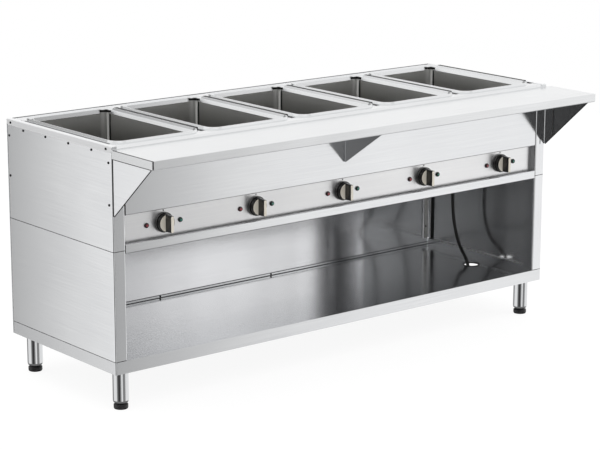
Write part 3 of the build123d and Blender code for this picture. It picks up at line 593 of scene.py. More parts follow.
# Painted shade beside the wells' rims, round the shelf and in the cabinet's corners: nearly black strips, a
# little uneven
NEAR_BLACK_PAINTED_SHADE = Moulded(
    "painted_shade_near_black", "#1A1A1C", "#28282A", roughness=0.6, texture=3.0, texture_depth=0.1
)
# Painted shade in the narrow joints of the deck and the cabinet: dull dark grey strips
DARK_GREY_PAINTED_SHADE = Moulded(
    "painted_shade_dark_grey", "#46474A", "#55565A", roughness=0.55, texture=3.0, texture_depth=0.1
)
# Paler painted shade in the slot under the control strip and under the shelf's front lip: a soft grey line
PALE_GREY_PAINTED_SHADE = Moulded(
    "painted_shade_pale_grey", "#A8A9AB", "#B4B5B7", roughness=0.55, texture=3.0, texture_depth=0.1
)
# Mineral wool board: tan, rough and soft
WOOL_BOARD = Moulded(
    "mineral_wool_board", "#B79A5E", "#8F7743", roughness=0.95, texture=4.0, texture_depth=1.2
)


@cache
def material_of(finish: Finish) -> bpy.types.Material:
    """Give a finish's material, built once for all that wear it."""
    return finish.material()


def dress(nodes: Nodes, finish: Finish, *names: str) -> None:
    """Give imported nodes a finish.

    Args:
        nodes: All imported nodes.
        finish: The finish.
        names: The names of the nodes that get it.
    """
    for name in names:
        for slot in nodes[name].material_slots:
            slot.material = material_of(finish)
        LOG.info("dressed %s in %s", name, finish.name)


def piece(name: str, shape: Shape, finish: Finish) -> None:
    """Turn a finished bmesh into a piece of the table.

    Args:
        name: The piece's name.
        shape: Its shape, in place; it is freed here.
        finish: Its finish.
    """
    mesh = bpy.data.meshes.new(name)
    shape.to_mesh(mesh)
    shape.free()
    mesh.materials.append(material_of(finish))
    made = bpy.data.objects.new(name, mesh)
    bpy.context.scene.collection.objects.link(made)
    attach(made, "table")
    LOG.info("built %s", name)


@dataclass(frozen=True)
class PhotoCamera:
    """The photograph's viewpoint. The place is in metres."""

    lens_mm: float = 123.43
    sensor_mm: float = 36.0
    place: Point = (-4.2768, -5.2221, 2.0367)
    tilt_degrees: float = 76.58
    roll_degrees: float = -0.11
    turn_degrees: float = -38.95

    def build(self) -> None:
        """Make the camera and use it."""
        data = bpy.data.cameras.new("photo_camera")
        data.lens = self.lens_mm
        data.sensor_width = self.sensor_mm
        camera = bpy.data.objects.new("photo_camera", data)
        camera.location = self.place
        turns = (self.tilt_degrees, self.roll_degrees, self.turn_degrees)
        camera.rotation_euler = [math.radians(turn) for turn in turns]
        bpy.context.scene.collection.objects.link(camera)
        bpy.context.scene.camera = camera


@dataclass(frozen=True)
class SoftLamp:
    """One large soft lamp, in metres."""

    name: str
    place: Point
    aim: Point
    size: float
    watts: float

    def build(self) -> None:
        """Make the lamp."""
        data = bpy.data.lights.new(self.name, "AREA")
        data.size = self.size
        data.energy = self.watts
        made = bpy.data.objects.new(self.name, data)
        made.location = self.place
        away = Vector(self.place) - Vector(self.aim)
        made.rotation_euler = away.to_track_quat("Z", "Y").to_euler()
        made.visible_glossy = False  # the surround is what metal mirrors
        bpy.context.scene.collection.objects.link(made)


@dataclass(frozen=True)
class Studio:
    """A white studio: a pale floor, a surround that is dark beside the camera, and soft lamps. Metres."""

    floor_half: float = 4.0
    floor_cells: int = 8
    floor_glow: float = 0.9
    floor_colour: str = "#F4F4F4"
    floor_fibre_colour: str = "#F2F2F2"
    floor_fibre: float = 1 / 300
    floor_fibre_detail: float = 2.0
    floor_share: float = 0.16
    floor_roughness: float = 0.9
    # How bright the surround is to metal, by azimuth from +Y towards +X: dark beside the camera, with one
    # white screen there, grey behind the left end, and white elsewhere
    surround: tuple[Pair, ...] = (
        (-180.0, 0.28), (-175.0, 1.0), (-158.0, 1.0), (-153.0, 0.3), (-142.0, 0.3), (-139.5, 0.16),
        (-135.0, 0.03), (-120.0, 0.06), (-102.0, 0.2), (-94.0, 0.5), (-86.0, 1.0), (-33.2, 1.0),
        (-32.1, 0.9), (-30.6, 0.35), (-28.7, 0.15), (-15.0, 0.3), (5.0, 0.55), (25.0, 1.0),
        (141.8, 1.0), (143.7, 0.85), (145.3, 0.4), (150.0, 0.34), (165.0, 0.28), (180.0, 0.28),
    )
    # Share of a second white screen, which stands above the horizon only
    screen: tuple[Pair, ...] = ((-150.0, 0.0), (-149.2, 1.0), (-141.2, 1.0), (-140.4, 0.0))
    # Sines of the heights between which that screen begins, and the surround turns white overhead and dark
    # underfoot
    horizon: Span = (0.0, 0.12)
    overhead: Span = (0.3, 0.65)
    underfoot: Span = (-0.32, -0.55)
    underfoot_level: float = 0.2
    lamps: tuple[SoftLamp, ...] = (
        SoftLamp("soft_lamp_above", (-0.8, -0.8, 3.6), (0.0, 0.0, 0.6), size=2.6, watts=26.0),
        SoftLamp("soft_lamp_right", (3.2, -2.6, 2.2), (0.0, 0.0, 0.5), size=2.0, watts=20.0),
    )

    def build(self) -> None:
        """Make the floor, the surround and the lamps."""
        self.build_floor()
        self.build_surround()
        for lamp in self.lamps:
            lamp.build()
        bpy.context.scene.view_settings.view_transform = "Standard"

    def paper(self) -> bpy.types.Material:
        """Give white paper that glows to the eye, with a weak shadow, and is plain to other light.

        Returns:
            The material.
        """
        matt = {"Roughness": self.floor_roughness, "Specular IOR Level": 0.0}
        material, tree, shader, place = surface("paper_floor_white", matt)
        fine = {"Scale": 1 / self.floor_fibre, "Detail": self.floor_fibre_detail}
        fibre = add(tree, "ShaderNodeTexNoise", "Fac", {"Vector": place, **fine})
        tones = {SHARE: fibre, COLOUR_A: linear(self.floor_fibre_colour), COLOUR_B: linear(self.floor_colour)}
        tone = add(tree, "ShaderNodeMix", COLOUR_OUT, tones, data_type="RGBA")
        feed(tree, shader, {"Base Color": tone})
        glow = add(tree, "ShaderNodeEmission", 0, {"Color": WHITE, "Strength": self.floor_glow})
        diffuse = add(tree, "ShaderNodeBsdfDiffuse", 0, {"Color": tone})
        weak = add(tree, "ShaderNodeMixShader", 0, {0: self.floor_share, 2: diffuse})
        seen = add(tree, "ShaderNodeAddShader", 0, {0: glow, 1: weak})
        to_eye = add(tree, "ShaderNodeLightPath", "Is Camera Ray", {})
        chosen = add(tree, "ShaderNodeMixShader", 0, {0: to_eye, 1: shader.outputs[0], 2: seen})
        feed(tree, tree.nodes["Material Output"], {"Surface": chosen})
        return material

    def build_floor(self) -> None:
        """Make a floor that is white to the eye and keeps the object's shadow."""
        shape = bmesh.new()
        cells = self.floor_cells
        bmesh.ops.create_grid(shape, x_segments=cells, y_segments=cells, size=self.floor_half)
        mesh = bpy.data.meshes.new("studio_floor")
        shape.to_mesh(mesh)
        shape.free()
        mesh.materials.append(self.paper())
        floor = bpy.data.objects.new("studio_floor", mesh)
        # Metal sees the surround in its place, which carries on below the floor's level
        floor.visible_glossy = False
        bpy.context.scene.collection.objects.link(floor)

    def build_surround(self) -> None:
        """Make the surround: white to the eye, with its dark and grey sides for all other light."""
        world = bpy.data.worlds.new("studio_surround")
        bpy.context.scene.world = world
        world.use_nodes = True
        tree = world.node_tree
        direction = add(tree, "ShaderNodeTexCoord", "Generated", {})
        split = add(tree, "ShaderNodeSeparateXYZ", "X", {"Vector": direction}).node.outputs
        azimuth = add(tree, "ShaderNodeMath", 0, {0: split["X"], 1: split["Y"]}, operation="ARCTAN2")
        circle = {"From Min": -math.pi, "From Max": math.pi}
        around = add(tree, "ShaderNodeMapRange", "Result", {"Value": azimuth, **circle})
        ring = add(tree, "ShaderNodeValToRGB", "Color", {"Fac": around})
        across = add(tree, "ShaderNodeValToRGB", "Color", {"Fac": around})
        for curve, stops in ((ring, self.surround), (across, self.screen)):
            draw_stops(curve.node.color_ramp, [((degrees + 180) / 360, bright) for degrees, bright in stops])
        above, overhead, underfoot = (
            add(
                tree,
                "ShaderNodeMapRange",
                "Result",
                {"Value": split["Z"], "From Min": start, "From Max": end},
                interpolation_type="SMOOTHSTEP",
            )
            for start, end in (self.horizon, self.overhead, self.underfoot)
        )
        level = ring
        to_eye = add(tree, "ShaderNodeLightPath", "Is Camera Ray", {})
        screen = add(tree, "ShaderNodeMath", 0, {0: across, 1: above}, operation="MULTIPLY")
        for share, goal in ((screen, 1.0), (overhead, 1.0), (underfoot, self.underfoot_level), (to_eye, 1.0)):
            turned = {SHARE: share, LEVEL_A: level, LEVEL_B: goal}
            level = add(tree, "ShaderNodeMix", LEVEL_OUT, turned, data_type="FLOAT")
        feed(tree, tree.nodes["Background"], {"Color": WHITE, "Strength": level})


@dataclass(frozen=True)
class MainsLead:
    """The supply lead: down from its gland, out through the tray's grommet and into a coil put away behind.

    The coil winds in along the floor and out again on top, each half turn one step smaller or larger.
    """

    diameter: float = 12.0
    length: float = 1749.0
    route: tuple[Point, ...] = (
        (824.0, 187.0, 481.2), (824.0, 187.0, 405.0), (827.0, 188.0, 330.0), (829.0, 178.0, 262.0),
        (826.0, 148.0, 198.0), (811.0, 88.0, 156.0), (807.0, 72.0, 109.0), (804.0, 89.0, 62.0),
        (801.0, 131.0, 35.0), (797.0, 190.0, 21.0), (792.0, 250.0, 13.0), (786.0, 305.0, 8.6),
        (781.0, 350.0, 7.4), (781.0, 401.0, 7.4),
    )
    coil_centre: Pair = (708.0, 413.0)
    # Where the half turns meet: how far from the coil's middle along X, and how high
    coil_ends: tuple[Pair, ...] = ((73.0, 7.4), (-65.0, 7.4), (57.0, 7.4), (-57.0, 20.0), (65.0, 20.0))
    last_radius: float = 70.0
    tail: float = 66.0
    tail_shares: tuple[float, ...] = (0.2, 0.6, 1.0)
    half_turn_points: int = 12
    spline_order: int = 3
    length_steps: int = 6
    round_steps: int = 5
    nickel_reach: float = 22.0  # from the earth pin's tip to 1 mm past the plug's end face

    def coil_points(self) -> list[Vector]:
        """Give the control points of the coil's turns and of the straight end that goes to the plug.

        Returns:
            The points in order, in millimetres.
        """
        points = []
        step = math.pi / self.half_turn_points
        widen = 1 / math.cos(step / 2)  # so that the curve inside the points keeps the coil's radius
        middle_x, middle_y = self.coil_centre
        side = 1
        for (start, start_z), (end, end_z) in zip(self.coil_ends, self.coil_ends[1:]):
            for k in range(self.half_turn_points):
                turn = (k + 0.5) * step
                across = (start + end) / 2 + (start - end) / 2 * widen * math.cos(turn)
                along = side * abs(start - end) / 2 * widen * math.sin(turn)
                height = start_z + (end_z - start_z) * (1 - math.cos(turn)) / 2
                points.append(Vector((middle_x + across, middle_y + along, height)))
            side = -side
        leave, top = self.coil_ends[-1]
        for k in range(self.half_turn_points // 2):
            turn = (k + 0.5) * step
            across = leave - self.last_radius + self.last_radius * widen * math.cos(turn)
            along = self.last_radius * widen * math.sin(turn)
            points.append(Vector((middle_x + across, middle_y + along, top)))
        end_x = middle_x + leave - self.last_radius
        for share in self.tail_shares:
            points.append(Vector((end_x - share * self.tail, middle_y + self.last_radius, top)))
        return points

    def build(self, nodes: Nodes) -> None:
        """Make the lead on one smooth spline and dress what is on it.

        Args:
            nodes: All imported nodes.
        """
        points = [Vector(point) for point in self.route] + self.coil_points()
        curve = bpy.data.curves.new("mains_lead", "CURVE")
        curve.dimensions = "3D"
        curve.bevel_depth = self.diameter * MM / 2
        curve.bevel_resolution = self.round_steps
        curve.resolution_u = self.length_steps
        curve.use_fill_caps = True
        spline = curve.splines.new("NURBS")
        spline.points.add(len(points) - 1)
        for control, point in zip(spline.points, points):
            control.co = (*(point * MM), 1.0)
        spline.order_u = self.spline_order
        spline.use_endpoint_u = True
        curve.materials.append(material_of(LEAD_RUBBER))
        lead = bpy.data.objects.new("mains_lead", curve)
        bpy.context.scene.collection.objects.link(lead)
        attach(lead, "table")
        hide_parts("cord", "cord_coil")
        LOG.info("built mains_lead")
        nickel_end = spans("plug")[0][0] + self.nickel_reach
        # Moulded rubber and plated blades: dull black, with a bright glint on the metal
        plug = PluggedRubber("rubber_plug_nickel_blades", "#1C1C1D", "#C9C8C4", nickel_end)
        dress(nodes, plug, "plug")
        dress(nodes, TIE_NYLON, "cord_tie")
        dress(nodes, GLAND_NYLON, "cord_gland")
        dress(nodes, GROMMET_RUBBER, "cord_grommet")


@dataclass(frozen=True)
class ScrewHead:
    """A pan-head screw with a cross recess."""

    radius: float = 4.0
    edge: float = 0.7
    height: float = 2.2
    shoulder: Pair = (0.92, 0.75)  # how far out it is, in radii, and how high, in heights
    crown: float = 0.68  # in radii
    recess_reach: float = 2.2
    recess_half: float = 0.55
    recess_depth: float = 1.3
    sides: int = 20
    merge: float = 0.01
    turn_step: float = 0.7  # radians from one head's recess to the next, so that no two stop at the same turn

    def mesh(self) -> bpy.types.Mesh:
        """Build one head that stands on the XY plane and looks along +Z.

        Returns:
            The mesh, in millimetres.
        """
        shape = bmesh.new()
        out, up = self.shoulder
        profile = (
            (self.radius, 0.0),
            (self.radius, self.edge),
            (out * self.radius, up * self.height),
            (self.crown * self.radius, self.height),
        )
        corners = [shape.verts.new((reach, 0.0, rise)) for reach, rise in profile]
        edges = [shape.edges.new(pair) for pair in zip(corners, corners[1:])]
        bmesh.ops.spin(
            shape,
            geom=corners + edges,
            axis=(0.0, 0.0, 1.0),
            cent=(0.0, 0.0, 0.0),
            steps=self.sides,
            angle=2 * math.pi,
            use_merge=True,
        )
        bmesh.ops.remove_doubles(shape, verts=shape.verts[:], dist=self.merge)
        top = [edge for edge in shape.edges if edge.is_boundary and edge.verts[0].co.z > self.edge]
        reach, half = self.recess_reach, self.recess_half
        cross = []
        for quarter in range(4):
            turned = Matrix.Rotation(quarter * QUARTER_TURN, 4, "Z")
            for x, y in ((reach, -half), (reach, half), (half, half)):
                cross.append(shape.verts.new(turned @ Vector((x, y, self.height))))
        cross_edges = [shape.edges.new(pair) for pair in zip(cross, cross[1:] + cross[:1])]
        bmesh.ops.bridge_loops(shape, edges=top + cross_edges)
        walls = bmesh.ops.extrude_edge_only(shape, edges=cross_edges)["geom"]
        floor = [item for item in walls if isinstance(item, bmesh.types.BMVert)]
        bmesh.ops.translate(shape, verts=floor, vec=(0.0, 0.0, -self.recess_depth))
        rim = [item for item in walls if isinstance(item, bmesh.types.BMEdge) and item.is_boundary]
        bmesh.ops.contextual_create(shape, geom=rim)
        under = [edge for edge in shape.edges if edge.is_boundary]
        bmesh.ops.contextual_create(shape, geom=under)
        bmesh.ops.recalc_face_normals(shape, faces=shape.faces[:])
        mesh = bpy.data.meshes.new("screw_head")
        shape.to_mesh(mesh)
        shape.free()
        return mesh

    def row(self, name: str, places: list[Point], facing: Facing) -> None:
        """Set heads on a panel, as one piece.

        Args:
            name: The piece's name.
            places: Where the heads sit.
            facing: The way that they look.
        """
        head = self.mesh()
        shape = bmesh.new()
        look = Vector(facing.value).to_track_quat("Z", "Y").to_matrix().to_4x4()
        for count, place in enumerate(places):
            start = len(shape.verts)
            shape.from_mesh(head)
            shape.verts.ensure_lookup_table()
            drive = Matrix.Rotation(count * self.turn_step, 4, "Z")
            put = Matrix.Translation(Vector(place) * MM) @ look @ drive @ Matrix.Scale(MM, 4)
            bmesh.ops.transform(shape, matrix=put, verts=shape.verts[start:])
        piece(name, shape, SCREW_BLACK)


@dataclass(frozen=True)
class Block:
    """A plain length of strip, by where it begins and ends along each axis."""

    xs: Span
    ys: Span
    zs: Span

    def put(self, shape: Shape) -> None:
        """Add the block to a shape.

        Args:
            shape: The shape that takes it, in metres.
        """
        low, high = (Vector(corner) * MM for corner in zip(self.xs, self.ys, self.zs))
        middle = Matrix.Translation((low + high) / 2)
        bmesh.ops.create_cube(shape, size=1.0, matrix=middle @ Matrix.Diagonal((*(high - low), 1.0)))


@dataclass(frozen=True)
class Bar:
    """A plain strip that slants in the YZ plane between two points."""

    start: Point
    end: Point
    width: float
    thickness: float

    def put(self, shape: Shape) -> None:
        """Add the bar to a shape.

        Args:
            shape: The shape that takes it, in metres.
        """
        start, end = Vector(self.start) * MM, Vector(self.end) * MM
        along = end - start
        turned = along.to_track_quat("Y", "Z").to_matrix().to_4x4()
        sizes = (self.width * MM, along.length, self.thickness * MM, 1.0)
        put = Matrix.Translation((start + end) / 2) @ turned @ Matrix.Diagonal(sizes)
        bmesh.ops.create_cube(shape, size=1.0, matrix=put)


@dataclass(frozen=True)
class Rod:
    """An upright round bead."""

    foot: Point
    radius: float
    height: float
    sides: int = 24

    def put(self, shape: Shape) -> None:
        """Add the rod to a shape.

        Args:
            shape: The shape that takes it, in metres.
        """
        middle = Matrix.Translation((Vector(self.foot) + Vector((0.0, 0.0, self.height / 2))) * MM)
        bmesh.ops.create_cone(
            shape,
            cap_ends=True,
            segments=self.sides,
            radius1=self.radius * MM,
            radius2=self.radius * MM,
            depth=self.height * MM,
            matrix=middle,
        )


def strips(name: str, finish: Finish, *parts: Block | Bar | Rod) -> None:
    """Make one piece of the table from several strips.

    Args:
        name: The piece's name.
        finish: What they are made of.
        parts: The strips.
    """
    shape = bmesh.new()
    for part in parts:
        part.put(shape)
    piece(name, shape, finish)


@dataclass(frozen=True)
class EndJoints:
    """The open joints of one end: black strips of painted shade in the lower ones and a steel strip under the
    cap.
    """

    end: Facing
    inset: float = 0.4
    thick: float = 0.7
    joint_half: float = 0.98
    dark_joints: tuple[float, ...] = (167.0, 514.0)
    pale_joint: float = 821.0
    corner: float = 4.6
    corner_inset: float = 1.6
    post_width: float = 45.0
    fascia_gap: float = 2.0
    fascia_z: float = 622.6

    @property
    def panel(self) -> str:
        """The node that the joints run round."""
        return f"upper_end_{self.end.side}"

    @property
    def front_ys(self) -> Span:
        """Where the strips in the front's joints begin and end along Y."""
        front = spans(self.panel)[1][0]
        return (front + self.inset, front + self.inset + self.thick)

    def ring(self, middle: float) -> list[Block]:
        """Give the strips in the joint at one height.

        Args:
            middle: The height of the joint's middle.

        Returns:
            The strips along the end wall, round the front corner and across the post.
        """
        front, rear = spans(self.panel)[1]
        zs = (middle - self.joint_half, middle + self.joint_half)
        wall = self.end.inward(self.panel, self.inset, self.inset + self.thick)
        bend = self.end.inward(self.panel, self.corner_inset, self.corner)
        post = self.end.inward(self.panel, self.corner, self.post_width - self.corner)
        return [
            Block(wall, (front + self.corner, rear - self.corner), zs),
            Block(bend, (front + self.corner_inset, front + self.corner), zs),
            Block(post, self.front_ys, zs),
        ]

    def build(self) -> None:
        """Make the black strips of painted shade and the steel strip."""
        # Painted shade: black strips stand in the lower joints and beside the fascia, where there is only
        # shade
        shade_blocks = [block for middle in self.dark_joints for block in self.ring(middle)]
        gap = self.end.inward(self.panel, self.post_width, self.post_width + self.fascia_gap)
        shade_blocks.append(Block(gap, self.front_ys, (self.fascia_z, self.pale_joint)))
        strips(f"joint_painted_shade_{self.end.side}", BLACK_PAINTED_SHADE, *shade_blocks)
        strips(f"cap_joint_strip_{self.end.side}", CAP_SHEET, *self.ring(self.pale_joint))


@dataclass(frozen=True)
class DeckLines:
    """Painted shade on the deck: dark strips against each well's rim, along the left cap and along the rear
    edge.
    """

    rim_right: float = 164.6  # from a well's middle to the foot of its rim
    bead_width: float = 10.5
    bead_top: float = 844.8
    bead_ys: Span = (-117.0, 331.0)
    tail_ys: Span = (-147.0, -117.0)
    tail_top: float = 838.2
    deck_z: float = 837.8
    cap_xs: Span = (-912.0, -906.0)
    cap_ys: Span = (-147.0, 331.0)
    cap_zs: Span = (836.8, 839.6)
    rear_gap: float = 1.0
    rear_ys: Span = (403.4, 406.4)
    rear_top: float = 838.9
    closer_ys: Span = (-192.9, -185.5)
    closer_zs: Span = (829.9, 838.6)
    cap_flange: float = 17.6

    def build(self, middles: list[float]) -> None:
        """Make the lines, and the closers at the caps' front ends.

        Args:
            middles: The wells' middles along X.
        """
        # Painted shade: near-black beads where the seams between the wells lie in shade
        beads = []
        for middle in middles:
            start = middle + self.rim_right
            xs = (start, start + self.bead_width)
            beads.append(Block(xs, self.bead_ys, (self.deck_z, self.bead_top)))
            beads.append(Block(xs, self.tail_ys, (self.deck_z, self.tail_top)))
        strips("rim_painted_shade", NEAR_BLACK_PAINTED_SHADE, *beads)
        left, right = spans("deck")[0]
        # Painted shade: dark grey lines beside the left cap and along the deck's rear edge
        beside = Block(self.cap_xs, self.cap_ys, self.cap_zs)
        rear_xs = (left + self.rear_gap, right - self.rear_gap)
        behind = Block(rear_xs, self.rear_ys, (self.deck_z, self.rear_top))
        strips("deck_painted_shade", DARK_GREY_PAINTED_SHADE, beside, behind)
        flanges = (end.inward("deck", 0.0, self.cap_flange) for end in ENDS)
        closers = [Block(xs, self.closer_ys, self.closer_zs) for xs in flanges]
        strips("cap_end_closers", TOP_SHEET, *closers)


@dataclass(frozen=True)
class ShelfLines:
    """Painted shade: dark lines round the work shelf and its end brackets, where their gaps lie in shade."""

    lip_zs: Span = (803.0, 830.0)
    proud: float = 0.15
    mitre: float = 3.6
    mitre_depth: float = 2.2
    mitre_gap: float = 0.4
    top_line: float = 1.8
    top_depth: float = 0.6
    lip_line: float = 2.4
    lip_depths: Span = (0.2, 1.4)
    front_line: float = 1.3
    front_drop: float = 0.6
    front_depths: Span = (-0.1, 1.2)
    plate: float = 2.0
    plate_rear: float = -199.0
    plate_front: float = -397.0
    plate_top: float = 801.5
    edge: float = 2.2
    edge_width: float = 2.4
    post_front: float = -193.2
    post_top: float = 828.0

    def build(self) -> None:
        """Make the lines at the left corner, under the front lip and along both end brackets."""
        (left, right), (front, _), _ = spans("work_shelf")
        bottom, top = self.lip_zs
        outer = left - self.proud
        mitre_ys = (front - self.proud, front + self.mitre_depth)
        top_zs = (top - self.top_line, top + self.proud)
        lip_xs = tuple(left + depth for depth in self.lip_depths)
        # Painted shade: near-black strips at the left corner, along the lip's top and under the lip, and
        # along the brackets
        dark = [
            Block((outer, left + self.mitre), mitre_ys, (bottom, top - self.mitre_gap)),
            Block((outer, left + self.top_depth), (front, self.plate_rear), top_zs),
            Block(lip_xs, (self.plate_front, self.plate_rear), (bottom - self.lip_line, bottom)),
        ]
        for end in ENDS:
            dark += self.edges(end)
        strips("shelf_painted_shade", NEAR_BLACK_PAINTED_SHADE, *dark)
        # Painted shade: a pale grey line under the front lip
        under_ys = tuple(front + depth for depth in self.front_depths)
        under_zs = (bottom - self.front_drop, bottom + self.front_line)
        under = Block((left + self.mitre, right - self.mitre), under_ys, under_zs)
        strips("shelf_edge_painted_shade", PALE_GREY_PAINTED_SHADE, under)

    def edges(self, end: Facing) -> list[Block | Bar]:
        """Give the lines behind and under one end bracket's plate.

        Args:
            end: Which end.

        Returns:
            An upright line in the gap to the post, and one along the plate's slanting edge.
        """
        bracket = f"bracket_{end.side}"
        xs = end.inward(bracket, 0.0, self.plate)
        (middle,) = end.inward(bracket, self.plate / 2)
        foot = spans(bracket)[2][0]
        behind = Block(xs, (self.plate_rear, self.post_front), (foot, self.post_top))
        tip = (middle, self.plate_front, self.plate_top)
        slant = Bar(tip, (middle, self.plate_rear, foot), self.edge_width, self.edge)
        return [behind, slant]


@dataclass(frozen=True)
class CabinetLines:
    """Painted shade and highlight in the cabinet, welds and ground bands on its rear returns, and grey
    painted shade in the slot under the control strip.
    """

    floor_end: float = 3.0
    foot_ys: Span = (403.0, 404.6)
    foot_zs: Span = (143.0, 144.6)
    crest_ys: Span = (404.4, 405.6)
    crest_zs: Span = (151.4, 153.2)
    slot_gap: float = 1.0
    slot_ys: Span = (-187.8, -173.2)
    slot_zs: Span = (525.8, 527.0)
    # The ends' rear returns: from the ends' outer faces to their two upright welds and to the band between
    weld_insets: tuple[float, ...] = (4.4, 30.4)
    weld_radius: float = 3.6
    weld_y: float = 402.6
    band_insets: Span = (2.0, 30.6)
    band_ys: Span = (403.8, 404.5)
    return_zs: Span = (169.0, 505.0)
    # The ends' inner faces: dark painted shade in each rear corner and a white line of painted highlight
    # along each foot
    wall_insets: Span = (1.2, 1.6)
    corner_shade_ys: Span = (373.0, 391.0)
    corner_shade_zs: Span = (168.6, 502.0)
    foot_highlight_ys: Span = (-138.0, 373.0)
    foot_highlight_zs: Span = (165.2, 168.6)

    def at_ends(self, insets: Span, ys: Span, zs: Span) -> list[Block]:
        """Give a strip at each end.

        Args:
            insets: Where it begins and ends, from the end's outer face.
            ys: Where it begins and ends along Y.
            zs: Where it begins and ends in height.

        Returns:
            The left and the right strip.
        """
        return [Block(end.inward("base_tray", *insets), ys, zs) for end in ENDS]

    def build(self) -> None:
        """Make the lines on the ends' inner faces, along the upstand, on the rear returns and in the slot."""
        # Painted shade: dark strips in the rear corners, where there is only shade
        strips("corner_painted_shade", NEAR_BLACK_PAINTED_SHADE, *self.at_ends(self.wall_insets, self.corner_shade_ys, self.corner_shade_zs))
        # Painted highlight: white lines along the foot of each end wall
        base_painted_highlights = self.at_ends(self.wall_insets, self.foot_highlight_ys, self.foot_highlight_zs)
        strips("base_painted_highlights", WHITE_PAINTED_HIGHLIGHT, *base_painted_highlights)
        left, right = spans("base_tray")[0]
        floor_xs = (left + self.floor_end, right - self.floor_end)
        # Painted shade: dark grey lines along the foot and crest of the tray's rear upstand
        foot = Block(floor_xs, self.foot_ys, self.foot_zs)
        crest = Block(floor_xs, self.crest_ys, self.crest_zs)
        strips("cabinet_painted_shade", DARK_GREY_PAINTED_SHADE, foot, crest)
        bottom, top = self.return_zs
        welds = []
        for inset in self.weld_insets:
            for end in ENDS:
                (middle,) = end.inward("base_tray", inset)
                welds.append(Rod((middle, self.weld_y, bottom), self.weld_radius, top - bottom))
        strips("return_welds", LEG_TUBE, *welds)
        strips("return_bands", WELD_AND_PAINTED_HIGHLIGHT, *self.at_ends(self.band_insets, self.band_ys, self.return_zs))
        # Painted shade: a pale grey strip on the slot's floor under the control strip
        left, right = spans("front_rail")[0]
        slot_xs = (left + self.slot_gap, right - self.slot_gap)
        strips("slot_painted_shade", PALE_GREY_PAINTED_SHADE, Block(slot_xs, self.slot_ys, self.slot_zs))


@dataclass(frozen=True)
class WellCorners:
    """The wells' corners: black painted shade behind the collars' notches, and pale welds ground back below
    that paint the corners' highlight streaks.
    """

    middle_y: float = 107.0
    half_width: float = 158.5
    half_length: float = 260.0
    radius: float = 31.0
    depths: Span = (0.9, 0.1)  # from the corner's radius to a strip's inner and outer face
    notch_shade_zs: Span = (827.5, 836.2)
    notch_shade_degrees: Span = (0.0, 90.0)
    weld_zs: Span = (657.0, 824.0)
    weld_degrees: Span = (29.0, 40.0)
    seam_degrees: Span = (15.0, 24.0)
    steps: int = 6

    def arc(self, shape: Shape, degrees: Span, heights: Span) -> list[bmesh.types.BMVert]:
        """Add a strip that lies in the corner of the +X and +Y walls, round the corner's own middle.

        Args:
            shape: The shape that takes it.
            degrees: Where it starts and ends, from +X towards +Y.
            heights: Its bottom and top.

        Returns:
            The strip's vertices.
        """
        before = set(shape.verts)
        inner, outer = (self.radius - depth for depth in self.depths)
        bottom, top = heights
        start, end = (math.radians(angle) for angle in degrees)
        ring = [
            shape.verts.new((reach * math.cos(start), reach * math.sin(start), rise))
            for reach, rise in ((inner, bottom), (outer, bottom), (outer, top), (inner, top))
        ]
        edges = [shape.edges.new(pair) for pair in zip(ring, ring[1:] + ring[:1])]
        bmesh.ops.spin(
            shape,
            geom=ring + edges,
            axis=(0.0, 0.0, 1.0),
            cent=(0.0, 0.0, 0.0),
            steps=self.steps,
            angle=end - start,
        )
        made = [vert for vert in shape.verts if vert not in before]
        open_edges = {edge for vert in made for edge in vert.link_edges if edge.is_boundary}
        bmesh.ops.holes_fill(shape, edges=list(open_edges), sides=4)
        return made

    def line(self, name: str, finish: Finish, arcs: list[tuple[Span, Span]], middles: list[float]) -> None:
        """Make one piece with the same strips in every corner of every well.

        Args:
            name: The piece's name.
            finish: What it is made of.
            arcs: Each strip's degrees and heights.
            middles: The wells' middles along X.
        """
        shape = bmesh.new()
        for middle_x in middles:
            for quarter in range(4):
                turn = Matrix.Rotation(quarter * QUARTER_TURN, 4, "Z")
                way = turn @ Vector((1.0, 1.0, 0.0))
                x = middle_x + way.x * (self.half_width - self.radius)
                y = self.middle_y + way.y * (self.half_length - self.radius)
                put = Matrix.Scale(MM, 4) @ Matrix.Translation((x, y, 0.0)) @ turn
                for degrees, heights in arcs:
                    bmesh.ops.transform(shape, matrix=put, verts=self.arc(shape, degrees, heights))
        bmesh.ops.recalc_face_normals(shape, faces=shape.faces[:])
        piece(name, shape, finish)

    def build(self, middles: list[float]) -> None:
        """Make the black painted shade, the pale welds of painted highlight and the dark seams of painted
        shade beside them.

        Args:
            middles: The wells' middles along X.
        """
        # Painted shade: black strips in the collars' notches and beside the welds
        dark = [(self.notch_shade_degrees, self.notch_shade_zs), (self.seam_degrees, self.weld_zs)]
        self.line("well_corner_painted_shade", BLACK_PAINTED_SHADE, dark, middles)
        # Painted highlight: pale welds down the rounded corners
        self.line("well_corner_welds_painted_highlight", WELD_AND_PAINTED_HIGHLIGHT, [(self.weld_degrees, self.weld_zs)], middles)


